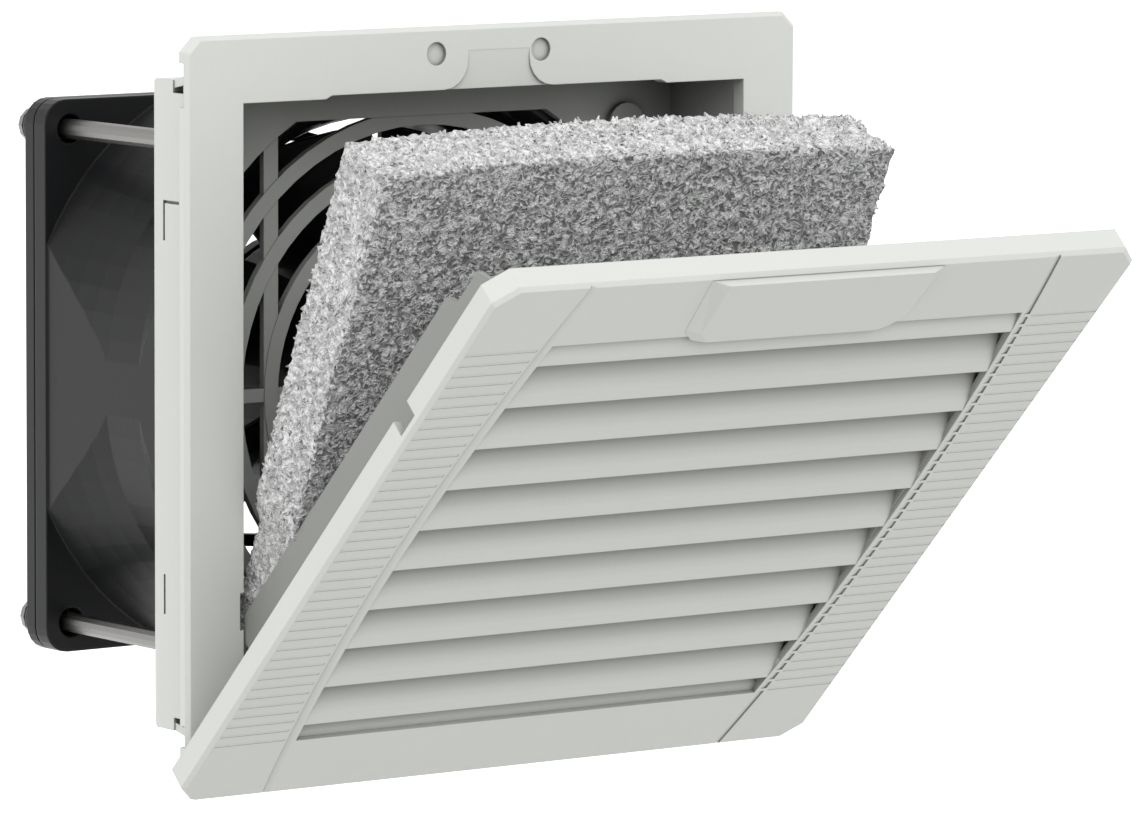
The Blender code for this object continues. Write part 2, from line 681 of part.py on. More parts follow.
def collar_slits_mesh():
    """Narrow slits in the collar's two sides."""
    mesh = bmesh.new()
    near = COLLAR_SLIT_Y - COLLAR_SLIT_WIDTH / 2
    far = COLLAR_SLIT_Y + COLLAR_SLIT_WIDTH / 2
    top = COLLAR_SLIT_TOP
    low = top - COLLAR_SLIT_LENGTH
    angled = [
        (FLANGE_BEVEL, top - COLLAR_SLIT_WIDTH), (near, top - COLLAR_SLIT_WIDTH), (near, low), (far, low),
        (far, top), (FLANGE_BEVEL, top),
    ]
    bottom = COLLAR_SLIT_BOTTOM
    straight = box_outline(near, far, bottom, bottom + COLLAR_SLIT_LENGTH)
    for side in (-1, 1):
        for outline in (angled, straight):
            rings = [along_x(outline, side * (COLLAR_HALF - COLLAR_SLIT_DEPTH))]
            rings.append(along_x(outline, side * (COLLAR_HALF + 1.0)))
            add_loft(mesh, rings)
    return mesh


def gasket_rings(clearance):
    """Outer and inner outline of the gasket groove in the back of the flange."""
    inner = GASKET_GROOVE_INNER + clearance
    outer = GASKET_GROOVE_INNER + GASKET_GROOVE_WIDTH - clearance
    low = GASKET_BOTTOM_CUT
    outside = chamfered(outer, -outer + low, outer, FLANGE_CHAMFER)
    inside = chamfered(inner, -inner + low * 0.6, inner, FLANGE_CHAMFER * 0.5)
    return outside, inside


def gasket_mesh(clearance, y_front, y_rear):
    mesh = bmesh.new()
    outside, inside = gasket_rings(clearance)
    rings = [along_y(outside, y_front), along_y(outside, y_rear)]
    rings += [along_y(inside, y_rear), along_y(inside, y_front)]
    add_loft(mesh, rings, wrap=True)
    return mesh


def build_mounting_frame(material):
    frame = finish_object("mounting_frame", flange_mesh(), material)
    apply_tool(frame, "UNION", "collar", collar_mesh())
    apply_tool(frame, "DIFFERENCE", "cavity", cavity_mesh())
    apply_tool(frame, "DIFFERENCE", "window", window_mesh())
    apply_tool(frame, "DIFFERENCE", "grille_opening", grille_opening_mesh())
    apply_tool(frame, "UNION", "grille_rings", grille_rings_mesh())
    apply_tool(frame, "UNION", "grille_posts", grille_posts_mesh())
    apply_tool(frame, "UNION", "screw_bosses", bosses_mesh())
    hole_floor = COLLAR_DEPTH - SCREW_ENGAGEMENT - SEAT
    holes = screw_holes_mesh(SCREW_CLEARANCE_RADIUS, hole_floor, FAN_FRONT + 1.0)
    apply_tool(frame, "DIFFERENCE", "boss_holes", holes)
    apply_tool(frame, "DIFFERENCE", "latch_dish", latch_dish_mesh())
    apply_tool(frame, "DIFFERENCE", "latch_holes", latch_recess_mesh())
    apply_tool(frame, "DIFFERENCE", "pry_notches", flange_notches_mesh())
    apply_tool(frame, "DIFFERENCE", "snap_slots", snap_slots_mesh())
    apply_tool(frame, "UNION", "snap_arms", snap_arms_mesh())
    apply_tool(frame, "DIFFERENCE", "collar_slits", collar_slits_mesh())
    apply_tool(frame, "DIFFERENCE", "gasket_groove", gasket_mesh(0.0, -GASKET_GROOVE_DEPTH, 1.0))
    apply_tool(frame, "DIFFERENCE", "lower_edge", lower_edge_mesh())
    apply_tool(frame, "DIFFERENCE", "hinge_pockets", hinge_pockets_mesh())
    apply_tool(frame, "UNION", "hinge_ears", hinge_ears_mesh())
    apply_tool(frame, "UNION", "hinge_pins", hinge_pins_mesh())
    return frame


def build_panel_gasket(material):
    mesh = gasket_mesh(SEAT * 0.7, -GASKET_GROOVE_DEPTH + SEAT, 0.0)
    return finish_object("panel_gasket", mesh, material)


# Front cover, modelled shut and turned open about the hinge line

def cover_z(height):
    return COVER_LOW + height


def cover_shell_mesh():
    mesh = bmesh.new()
    high = COVER_LOW + COVER_SIZE
    full = chamfered(COVER_HALF, COVER_LOW, high, COVER_CHAMFER)
    inset = chamfered(
        COVER_HALF - COVER_EDGE_BEVEL,
        COVER_LOW + COVER_EDGE_BEVEL,
        high - COVER_EDGE_BEVEL,
        COVER_CHAMFER - COVER_EDGE_BEVEL * 0.4,
    )
    rings = [
        along_y(full, COVER_RIM_Y),
        along_y(full, COVER_FRONT_Y + COVER_EDGE_BEVEL),
        along_y(inset, COVER_FRONT_Y),
    ]
    add_loft(mesh, rings)
    return mesh


def cover_hollow_mesh():
    mesh = bmesh.new()
    high = COVER_LOW + COVER_SIZE - COVER_WALL
    half = COVER_HALF - COVER_WALL
    corner = COVER_CHAMFER - COVER_WALL * 0.4
    low = COVER_LOW + COVER_WALL
    outline = [(-half, low), (half, low), (half, high - corner), (half - corner, high)]
    outline += [(-half + corner, high), (-half, high - corner)]
    add_loft(mesh, [along_y(outline, COVER_RIM_Y + 1.0), along_y(outline, COVER_FRONT_Y + COVER_FACE)])
    return mesh


def hinge_relief_mesh():
    """Clears the cover's lower walls, which would strike the flange as the cover opens."""
    mesh = bmesh.new()
    low = COVER_LOW - 1.0
    high = HINGE_Z - HINGE_RELIEF_RISE
    outline = rectangle(COVER_HALF + 1.0, low, high)
    add_loft(mesh, [along_y(outline, COVER_FRONT_Y + COVER_LIP), along_y(outline, COVER_RIM_Y + 2.0)])
    return mesh


def louvre_side(height, extra=0.0):
    """Half width of the louvre field at a height, whose sides are shallow arcs."""
    middle = (LOUVRE_FIELD_LOW + LOUVRE_FIELD_HIGH) / 2
    half = (LOUVRE_FIELD_HIGH - LOUVRE_FIELD_LOW) / 2
    radius = (half ** 2 + LOUVRE_SIDE_BULGE ** 2) / (2 * LOUVRE_SIDE_BULGE)
    offset = min(abs(height - middle), half)
    drop = radius - sqrt(radius ** 2 - offset ** 2)
    return LOUVRE_HALF_WIDTH + LOUVRE_SIDE_BULGE - drop + extra


def louvre_field_outline():
    steps = 12
    span = LOUVRE_FIELD_HIGH - LOUVRE_FIELD_LOW
    heights = [LOUVRE_FIELD_LOW + span * step / steps for step in range(steps + 1)]
    right = [(louvre_side(height), cover_z(height)) for height in heights]
    return right + [(-x, z) for x, z in reversed(right)]


def louvre_field_mesh():
    mesh = bmesh.new()
    outline = louvre_field_outline()
    add_loft(mesh, [along_y(outline, COVER_FRONT_Y - 1.0), along_y(outline, COVER_RIM_Y + 1.0)])
    return mesh


def louvre_profile(edge):
    """Section of one slat: its front edge is low, and it curls back and up behind the next."""
    front = COVER_FRONT_Y + 0.02
    depth = COVER_DEPTH - 0.12
    rise = min(LOUVRE_RISE, LOUVRE_FIELD_HIGH + 0.1 - edge)
    outer = []
    for step in range(LOUVRE_CURVES + 1):
        height = rise * step / LOUVRE_CURVES
        outer.append((front + depth * (height / LOUVRE_RISE) ** 1.7, cover_z(edge + height)))
    if rise < LOUVRE_RISE:
        rear = FLANGE_FRONT - SEAT
        end = cover_z(LOUVRE_FIELD_HIGH + 0.7)
        inner = [(min(y + LOUVRE_THICKNESS, rear), z) for y, z in outer]
        return outer + [(front + 0.5, end), (rear, end)] + inner[::-1]
    inner = [(y + LOUVRE_THICKNESS, z) for y, z in outer if y + LOUVRE_THICKNESS < COVER_RIM_Y]
    tip_y, tip_z = outer[-1]
    inner.append((tip_y, tip_z - LOUVRE_THICKNESS * 1.6))
    return outer + inner[::-1]


def louvre_slats_mesh():
    mesh = bmesh.new()
    for index in range(LOUVRE_COUNT):
        edge = LOUVRE_FIRST_EDGE + index * LOUVRE_PITCH
        profile = louvre_profile(edge)
        rings = []
        for side in (-1, 1):
            ring = []
            for y, z in profile:
                height = edge if index == LOUVRE_COUNT - 1 else max(z - COVER_LOW, LOUVRE_FIELD_LOW)
                ring.append(Vector((side * louvre_side(height, 0.35), y, z)))
            rings.append(ring)
        add_loft(mesh, rings)
    return mesh


def lower_louvre_mesh():
    """The part slat below the lowest full one, rising from the field's lower edge."""
    mesh = bmesh.new()
    low = cover_z(LOUVRE_FIELD_LOW)
    front = COVER_FRONT_Y + COVER_FACE * 0.35
    rear = COVER_RIM_Y - 0.2
    outline = [
        (front, low - 0.6), (front + 0.6, low + 0.9), (rear, low + 5.4), (rear, low + 3.6),
        (front + COVER_FACE, low - 0.6),
    ]
    half = louvre_side(LOUVRE_FIELD_LOW, 0.3)
    add_loft(mesh, [along_x(outline, -half), along_x(outline, half)])
    return mesh


def skirt_outline():
    def depth_y(depth):
        return COVER_RIM_Y + depth

    root = COVER_FRONT_Y + COVER_FACE * 0.6
    return [
        (root, cover_z(SKIRT_LOW)),
        (depth_y(SKIRT_DEPTH - SKIRT_TIP), cover_z(SKIRT_LOW)),
        (depth_y(SKIRT_DEPTH), cover_z(SKIRT_LOW + SKIRT_TIP)),
        (depth_y(SKIRT_DEPTH), cover_z(SKIRT_STEP - 1.5)),
        (depth_y(SKIRT_UPPER_DEPTH), cover_z(SKIRT_STEP)),
        (depth_y(SKIRT_UPPER_DEPTH), cover_z(SKIRT_TOP - SKIRT_TIP)),
        (depth_y(SKIRT_UPPER_DEPTH - SKIRT_TIP), cover_z(SKIRT_TOP - 1.2)),
        (root, cover_z(SKIRT_TOP - 0.6)),
    ]


def skirts_mesh():
    mesh = bmesh.new()
    for side in (-1, 1):
        rings = [along_x(skirt_outline(), side * x) for x in (SKIRT_INNER_X, SKIRT_OUTER_X)]
        add_loft(mesh, rings)
    return mesh


def side_notches_mesh():
    mesh = bmesh.new()
    high = cover_z(COVER_SIZE - SIDE_NOTCH_FROM_TOP)
    low = high - SIDE_NOTCH_HEIGHT
    rear = COVER_RIM_Y + 1.0
    front = COVER_RIM_Y - SIDE_NOTCH_DEPTH
    outline = [(front, low), (rear, low), (rear, high), (front, high)]
    for side in (-1, 1):
        near = side * (COVER_HALF - COVER_WALL - 0.6)
        far = side * (COVER_HALF + 1.0)
        add_loft(mesh, [along_x(outline, near), along_x(outline, far)])
    return mesh


def ear_pockets_mesh():
    """Round pockets in the cover's face that clear the ears and pins at every angle."""
    mesh = bmesh.new()
    pocket = [(HINGE_Y + y, HINGE_Z + z) for y, z in circle(HINGE_PIN_RADIUS + HINGE_CLEARANCE, 20)]
    for side in (-1, 1):
        start = side * (HINGE_EAR_X - HINGE_CLEARANCE)
        end = side * (HINGE_EAR_X + HINGE_EAR_WIDTH + HINGE_PIN_LENGTH)
        add_loft(mesh, [along_x(pocket, start), along_x(pocket, end)])
    return mesh


def hinge_knuckles_mesh():
    """Blind tubes that turn on the frame's pins."""
    mesh = bmesh.new()
    knuckle = [(HINGE_Y + y, HINGE_Z + z) for y, z in circle(HINGE_KNUCKLE_RADIUS, 16)]
    socket = [(HINGE_Y + y, HINGE_Z + z) for y, z in circle(HINGE_SOCKET_RADIUS, 16)]
    mouth = HINGE_EAR_X + HINGE_EAR_WIDTH + HINGE_CLEARANCE
    floor = mouth + HINGE_PIN_LENGTH
    root = COVER_HALF - COVER_WALL / 2
    for side in (-1, 1):
        rings = [along_x(socket, side * floor), along_x(socket, side * mouth)]
        rings += [along_x(knuckle, side * mouth), along_x(knuckle, side * root)]
        add_loft(mesh, rings)
    return mesh


def badge_outline(spread):
    high = COVER_LOW + COVER_SIZE - COVER_EDGE_BEVEL - 0.15
    low = cover_z(LOUVRE_FIELD_HIGH - BADGE_OVERHANG)
    corner = 2.0
    bottom = BADGE_BOTTOM_HALF + spread
    top = BADGE_TOP_HALF + spread
    return [
        (-bottom + corner, low), (bottom - corner, low), (bottom, low + corner),
        (top, high), (-top, high), (-bottom, low + corner),
    ]


def badge_field_mesh():
    """The bare raised field at the top of the cover: a wedge with sloping sides."""
    mesh = bmesh.new()
    foot = badge_outline(BADGE_SLOPE)
    low = foot[0][1]
    high = foot[3][1]
    face = []
    for x, z in badge_outline(0.0):
        share = (z - low) / (high - low)
        raised = BADGE_RAISE_BOTTOM + (BADGE_RAISE_TOP - BADGE_RAISE_BOTTOM) * share
        face.append(Vector((x, COVER_FRONT_Y - raised, z)))
    rings = [along_y(foot, COVER_FRONT_Y + COVER_FACE * 0.5), along_y(foot, COVER_FRONT_Y - 0.03), face]
    add_loft(mesh, rings)
    return mesh


def build_front_cover(material):
    pivot = (0.0, HINGE_Y, HINGE_Z)
    mesh = cover_shell_mesh()
    cover = finish_object("front_cover", mesh, material, origin=pivot, turn_x=COVER_OPEN_ANGLE)
    apply_tool(cover, "DIFFERENCE", "cover_hollow", cover_hollow_mesh(), origin=pivot)
    apply_tool(cover, "DIFFERENCE", "louvre_field", louvre_field_mesh(), origin=pivot)
    apply_tool(cover, "DIFFERENCE", "hinge_relief", hinge_relief_mesh(), origin=pivot)
    apply_tool(cover, "DIFFERENCE", "ear_pockets", ear_pockets_mesh(), origin=pivot)
    apply_tool(cover, "DIFFERENCE", "side_notches", side_notches_mesh(), origin=pivot)
    apply_tool(cover, "UNION", "badge_field", badge_field_mesh(), origin=pivot)
    apply_tool(cover, "UNION", "lower_louvre", lower_louvre_mesh(), origin=pivot)
    apply_tool(cover, "UNION", "louvre_slats", louvre_slats_mesh(), origin=pivot)
    apply_tool(cover, "UNION", "skirts", skirts_mesh(), origin=pivot)
    apply_tool(cover, "UNION", "hinge_knuckles", hinge_knuckles_mesh(), origin=pivot)
    return cover


def build_filter_mat(material):
    mesh = bmesh.new()
    rear = MAT_FRONT + MAT_THICKNESS
    edge = MAT_EDGE_ROUND
    full = chamfered(MAT_HALF, MAT_LOW, MAT_HIGH, edge)
    inset = chamfered(MAT_HALF - edge, MAT_LOW + edge, MAT_HIGH - edge, edge)
    rings = [
        along_y(inset, MAT_FRONT), along_y(full, MAT_FRONT + edge),
        along_y(full, rear - edge), along_y(inset, rear),
    ]
    add_loft(mesh, rings)
    pivot = (0.0, HINGE_Y, HINGE_Z)
    lean = COVER_OPEN_ANGLE * MAT_LEAN_RATIO
    return finish_object("filter_mat", mesh, material, origin=pivot, turn_x=lean)


# Axial fan

def fan_envelope_mesh():
    mesh = bmesh.new()
    half = FAN_SIZE / 2 - FAN_SIDE_RELIEF
    outline = rectangle(half, -half, half)
    front = FAN_FRONT + FAN_FLANGE * 0.5
    rear = FAN_REAR - FAN_FLANGE * 0.5
    add_loft(mesh, [along_y(outline, front), along_y(outline, rear)])
    return mesh


def fan_barrel_mesh():
    """The duct wall: a cylinder that flares towards both flanges."""
    mesh = bmesh.new()
    end = FAN_REAR - FAN_FLANGE
    flare = end - FAN_REAR_FLARE_LENGTH
    steps = 4
    profile = [(FAN_FLARE_RADIUS, FAN_FRONT + FAN_FLANGE * 0.25)]
    for step in range(steps + 1):
        share = step / steps
        swell = (FAN_FLARE_RADIUS - FAN_TUBE_RADIUS) * (0.55 * (1 - share) + 0.45 * (1 - share) ** 2)
        y = FAN_FRONT + FAN_FLANGE + FAN_FRONT_FLARE_LENGTH * share
        profile.append((FAN_TUBE_RADIUS + swell, y))
    for step in range(steps + 1):
        share = step / steps
        swell = (FAN_FLARE_RADIUS - FAN_TUBE_RADIUS) * (0.55 * share + 0.45 * share ** 2)
        profile.append((FAN_TUBE_RADIUS + swell, flare + (end - flare) * share))
    profile.append((FAN_FLARE_RADIUS, FAN_REAR - FAN_FLANGE * 0.25))
    add_turned(mesh, profile, 72)
    return mesh


def fan_flanges_mesh():
    mesh = bmesh.new()
    outline = rounded(FAN_SIZE / 2, FAN_CORNER)
    for start in (FAN_FRONT, FAN_REAR - FAN_FLANGE):
        add_loft(mesh, [along_y(outline, start), along_y(outline, start + FAN_FLANGE)])
    return mesh


def fan_bore_mesh():
    """The air's way through, whose two mouths widen from a circle into the corners."""
    mesh = bmesh.new()
    steps = 4
    rings = []
    for face, inward in ((FAN_FRONT, 1), (FAN_REAR, -1)):
        mouth = [along_y(clipped_circle(FAN_MOUTH_RADIUS, FAN_MOUTH_HALF, 64), face - inward)]
        for step in range(steps + 1):
            share = step / steps
            radius = FAN_BORE_RADIUS + (FAN_MOUTH_RADIUS - FAN_BORE_RADIUS) * (1 - share) ** 1.3
            outline = clipped_circle(radius, FAN_MOUTH_HALF, 64)
            mouth.append(along_y(outline, face + inward * FAN_MOUTH_DEPTH * share))
        rings += mouth if inward > 0 else mouth[::-1]
    add_loft(mesh, rings)
    return mesh


def spider_disc_mesh():
    """Motor base and bearing tube in one turned shape, open along the shaft."""
    mesh = bmesh.new()
    profile = [
        (HUB_RADIUS, SPIDER_FRONT),
        (HUB_RADIUS, SPIDER_REAR),
        (TUBE_INNER, SPIDER_REAR),
        (TUBE_INNER, TUBE_FRONT),
        (BEARING_TUBE_RADIUS, TUBE_FRONT),
        (BEARING_TUBE_RADIUS, SPIDER_FRONT),
    ]
    add_turned(mesh, profile, 32, hollow=True)
    return mesh


def spider_struts_mesh():
    mesh = bmesh.new()
    front = SPIDER_FRONT + 0.2
    rear = front + SPIDER_STRUT_DEPTH
    near = HUB_RADIUS - 1.0
    far = (FAN_TUBE_RADIUS + FAN_BORE_RADIUS) / 2 + SPIDER_STRUT_OVERREACH
    half = SPIDER_STRUT_WIDTH / 2
    for index in range(4):
        angle = pi / 4 + index * pi / 2
        outline = []
        for along, across in ((near, -half), (far, -half), (far, half), (near, half)):
            x = along * cos(angle) - across * sin(angle)
            z = along * sin(angle) + across * cos(angle)
            outline.append((x, z))
        add_loft(mesh, [along_y(outline, front), along_y(outline, rear)])
    return mesh


def build_fan_housing(material):
    housing = finish_object("fan_housing", fan_barrel_mesh(), material)
    apply_tool(housing, "INTERSECT", "fan_envelope", fan_envelope_mesh())
    apply_tool(housing, "UNION", "fan_flanges", fan_flanges_mesh())
    apply_tool(housing, "DIFFERENCE", "fan_bore", fan_bore_mesh())
    apply_tool(housing, "UNION", "spider_disc", spider_disc_mesh())
    apply_tool(housing, "UNION", "spider_struts", spider_struts_mesh())
    holes = screw_holes_mesh(FAN_HOLE_RADIUS, FAN_FRONT - 1.0, FAN_REAR + 1.0)
    apply_tool(housing, "DIFFERENCE", "fan_holes", holes)
    return housing


def blade_ring(radius, angle_offset):
    """Closed section of a blade at one radius, wrapped round the axis."""
    tip_radius = FAN_BORE_RADIUS - BLADE_TIP_GAP
    share = (radius - HUB_RADIUS) / (tip_radius - HUB_RADIUS)
    pitch = radians(BLADE_ROOT_ANGLE + (BLADE_TIP_ANGLE - BLADE_ROOT_ANGLE) * share)
    chord = BLADE_ROOT_CHORD + (BLADE_TIP_CHORD - BLADE_ROOT_CHORD) * share
    middle = HUB_FRONT + HUB_LENGTH / 2 - 0.5
    upper = []
    lower = []
    for step in range(BLADE_CHORD_STEPS + 1):
        place = step / BLADE_CHORD_STEPS - 0.5
        camber = BLADE_CAMBER * (1 - 4 * place * place)
        half = BLADE_THICKNESS / 2 * (1.15 - 1.5 * place * place)
        across = place * chord * cos(pitch)
        for side, points in ((1, upper), (-1, lower)):
            y = middle + place * chord * sin(pitch) - camber + side * half
            angle = angle_offset + across / radius
            points.append(Vector((radius * cos(angle), y, radius * sin(angle))))
    return upper + lower[::-1]


def blades_mesh():
    mesh = bmesh.new()
    tip_radius = FAN_BORE_RADIUS - BLADE_TIP_GAP
    root_radius = HUB_RADIUS - HUB_WALL * 0.5
    for index in range(BLADE_COUNT):
        offset = 2 * pi * index / BLADE_COUNT
        rings = []
        for station in range(BLADE_STATIONS):
            share = station / (BLADE_STATIONS - 1)
            radius = root_radius + (tip_radius - root_radius) * share
            rings.append(blade_ring(radius, offset + 0.16 * share))
        add_loft(mesh, rings)
    return mesh


def hub_mesh():
    mesh = bmesh.new()
    round_off = 1.2
    profile = [
        (HUB_RADIUS - round_off, HUB_FRONT),
        (HUB_RADIUS - round_off * 0.3, HUB_FRONT + round_off * 0.3),
        (HUB_RADIUS, HUB_FRONT + round_off),
        (HUB_RADIUS, HUB_REAR),
        (HUB_INNER, HUB_REAR),
        (HUB_INNER, HUB_FRONT + HUB_WALL),
    ]
    add_turned(mesh, profile, 48)
    return mesh


def build_impeller(material):
    impeller = finish_object("impeller", hub_mesh(), material)
    apply_tool(impeller, "UNION", "blades", blades_mesh())
    return impeller


def build_rotor_cup(material):
    mesh = bmesh.new()
    profile = [
        (CUP_OUTER - 0.6, CUP_FRONT),
        (CUP_OUTER, CUP_FRONT + 0.6),
        (CUP_OUTER, CUP_REAR),
        (CUP_INNER, CUP_REAR),
        (CUP_INNER, CUP_FRONT + ROTOR_CUP_WALL),
    ]
    add_turned(mesh, profile, 32)
    return finish_object("rotor_cup", mesh, material, smooth_angle=40)


def build_turned(name, profile, segments, material, hollow=True, centre=(0.0, 0.0)):
    mesh = bmesh.new()
    add_turned(mesh, profile, segments, centre, hollow)
    return finish_object(name, mesh, material, smooth_angle=40)


def build_motor(steel, brass, copper):
    shaft_front = CUP_FRONT + ROTOR_CUP_WALL + SEAT
    shaft_rear = SPIDER_REAR - SHAFT_END_GAP
    shaft = [(SHAFT_RADIUS, shaft_front), (SHAFT_RADIUS, shaft_rear)]
    build_turned("rotor_shaft", shaft, 20, steel, hollow=False)
    bearing_inner = SHAFT_RADIUS + SEAT
    bearing_outer = TUBE_INNER - SEAT
    rear_bearing = SPIDER_FRONT - BEARING_LENGTH
    for name, start in (("bearing_front", TUBE_FRONT + SEAT), ("bearing_rear", rear_bearing)):
        profile = tube_profile(bearing_inner, bearing_outer, start, start + BEARING_LENGTH)
        build_turned(name, profile, 20, brass)
    clip_front = SPIDER_FRONT + SEAT
    clip = tube_profile(bearing_inner, CLIP_RADIUS, clip_front, clip_front + CLIP_THICKNESS)
    build_turned("shaft_clip", clip, 20, steel)
    core_front = CUP_FRONT + CORE_FROM_CUP
    core_rear = core_front + CORE_LENGTH
    core = tube_profile(BEARING_TUBE_RADIUS + SEAT, CORE_RADIUS, core_front, core_rear)
    build_turned("stator_core", core, 32, steel)
    winding_outer = CORE_RADIUS - WINDING_FROM_CORE_EDGE
    winding_inner = BEARING_TUBE_RADIUS + WINDING_FROM_TUBE
    front_coil = core_front - SEAT - WINDING_LENGTH
    rear_coil = core_rear + SEAT
    for name, start in (("winding_front", front_coil), ("winding_rear", rear_coil)):
        end = start + WINDING_LENGTH
        round_off = WINDING_LENGTH * 0.25
        profile = [
            (winding_outer - round_off, start), (winding_outer, start + round_off),
            (winding_outer, end - round_off), (winding_outer - round_off, end),
            (winding_inner + round_off, end), (winding_inner, end - round_off),
            (winding_inner, start + round_off), (winding_inner + round_off, start),
        ]
        build_turned(name, profile, 20, copper)


# Rear guard, screws, washers and terminals

def guard_plate_mesh():
    mesh = bmesh.new()
    outline = rounded(FAN_SIZE / 2, FAN_CORNER)
    inset = rounded(FAN_SIZE / 2 - 0.5, FAN_CORNER - 0.5)
    rings = [along_y(outline, GUARD_FRONT), along_y(outline, GUARD_REAR - 0.5), along_y(inset, GUARD_REAR)]
    add_loft(mesh, rings)
    return mesh


def guard_rings_mesh():
    mesh = bmesh.new()
    front = GUARD_FRONT + 0.3
    rear = GUARD_REAR - 0.3
    for index in range(GUARD_RING_COUNT):
        middle = GUARD_OUTER_RING - index * GUARD_RING_PITCH
        half = GUARD_RING_WIDTH / 2
        if middle - half <= GUARD_DISC_RADIUS:
            break
        add_turned(mesh, tube_profile(middle - half, middle + half, front, rear), 36, hollow=True)
    return mesh


def guard_struts_mesh():
    """Two crossed struts along the diagonals and the disc at their middle."""
    mesh = bmesh.new()
    half = GUARD_STRUT_WIDTH / 2
    reach = GUARD_OPENING_RADIUS + 1.0
    arc = asin(half / GUARD_DISC_RADIUS)
    outline = []
    for index in range(4):
        angle = pi / 4 + index * pi / 2
        for along, across in ((reach, -half), (reach, half)):
            x = along * cos(angle) - across * sin(angle)
            outline.append((x, along * sin(angle) + across * cos(angle)))
        steps = 6
        for step in range(steps + 1):
            turn = angle + arc + (pi / 2 - 2 * arc) * step / steps
            outline.append((GUARD_DISC_RADIUS * cos(turn), GUARD_DISC_RADIUS * sin(turn)))
    add_loft(mesh, [along_y(outline, GUARD_FRONT + 0.5), along_y(outline, GUARD_REAR - 0.5)])
    return mesh


def build_rear_guard(material):
    guard = finish_object("rear_finger_guard", guard_plate_mesh(), material)
    opening = bmesh.new()
    outline = clipped_circle(GUARD_OPENING_RADIUS, GUARD_OPENING_HALF, 64)
    add_loft(opening, [along_y(outline, GUARD_FRONT - 1.0), along_y(outline, GUARD_REAR + 1.0)])
    apply_tool(guard, "DIFFERENCE", "guard_opening", opening)
    apply_tool(guard, "UNION", "guard_rings", guard_rings_mesh())
    apply_tool(guard, "UNION", "guard_struts", guard_struts_mesh())
    holes = screw_holes_mesh(SCREW_CLEARANCE_RADIUS, GUARD_FRONT - 1.0, GUARD_REAR + 1.0)
    apply_tool(guard, "DIFFERENCE", "guard_holes", holes)
    return guard


def screw_profile(head_front):
    """Shank and domed head with a socket, from the tip to the socket's floor."""
    tip = COLLAR_DEPTH - SCREW_ENGAGEMENT
    top = head_front + SCREW_HEAD_HEIGHT
    profile = [(SCREW_RADIUS - 0.4, tip), (SCREW_RADIUS, tip + 0.6), (SCREW_RADIUS, head_front)]
    profile.append((SCREW_HEAD_RADIUS, head_front))
    steps = 4
    for step in range(steps + 1):
        angle = step / steps * pi / 2
        swell = (SCREW_HEAD_RADIUS - SCREW_RECESS_RADIUS * 1.4) * cos(angle)
        radius = SCREW_RECESS_RADIUS * 1.4 + swell
        profile.append((radius, head_front + 0.3 + (SCREW_HEAD_HEIGHT - 0.3) * sin(angle)))
    profile.append((SCREW_RECESS_RADIUS, top))
    profile.append((SCREW_RECESS_RADIUS, top - SCREW_RECESS_DEPTH))
    return profile


def build_screws(steel, rubber):
    washer_front = GUARD_REAR + SEAT
    washer_rear = washer_front + WASHER_HEIGHT
    inner = SCREW_CLEARANCE_RADIUS
    for number, corner in enumerate(SCREW_CORNERS, start=1):
        washer = [
            (WASHER_RADIUS, washer_front), (WASHER_RADIUS, washer_front + WASHER_HEIGHT * 0.5),
            (WASHER_RADIUS - 0.35, washer_rear - 0.4), (WASHER_RADIUS - 0.9, washer_rear),
            (inner, washer_rear), (inner, washer_front),
        ]
        build_turned(f"screw_washer_{number}", washer, 16, rubber, centre=corner)
        profile = screw_profile(washer_rear + SEAT)
        build_turned(f"fan_screw_{number}", profile, 12, steel, hollow=False, centre=corner)


def build_terminals(plastic, metal):
    """A block on the housing's flat right side and the two tabs that the supply plugs onto."""
    block_side = FAN_SIZE / 2 - FAN_SIDE_RELIEF + SEAT
    block_rear = FAN_REAR - FAN_FLANGE - 1.0
    block_front = block_rear - TERMINAL_BLOCK_LENGTH
    half = TERMINAL_BLOCK_WIDTH / 2
    mesh = bmesh.new()
    top = block_side + TERMINAL_BLOCK_HEIGHT
    outline = [(block_side, -half), (top - 0.8, -half), (top, -half + 0.8), (top, half - 0.8)]
    outline += [(top - 0.8, half), (block_side, half)]
    add_loft(mesh, [along_y(outline, block_front), along_y(outline, block_rear)])
    finish_object("terminal_block", mesh, plastic)
    tab_x = block_side + TERMINAL_BLOCK_HEIGHT / 2
    thick = TERMINAL_TAB_THICKNESS / 2
    wide = TERMINAL_TAB_WIDTH / 2
    for number, centre in enumerate((-TERMINAL_TAB_PITCH / 2, TERMINAL_TAB_PITCH / 2), start=1):
        mesh = bmesh.new()
        near = block_rear + SEAT
        end = near + TERMINAL_TAB_LENGTH
        wide_outline = box_outline(tab_x - thick, tab_x + thick, centre - wide, centre + wide)
        tip_outline = box_outline(tab_x - thick, tab_x + thick, centre - wide * 0.6, centre + wide * 0.6)
        rings = [along_y(wide_outline, near), along_y(wide_outline, end - 0.8), along_y(tip_outline, end)]
        add_loft(mesh, rings)
        finish_object(f"terminal_tab_{number}", mesh, metal)


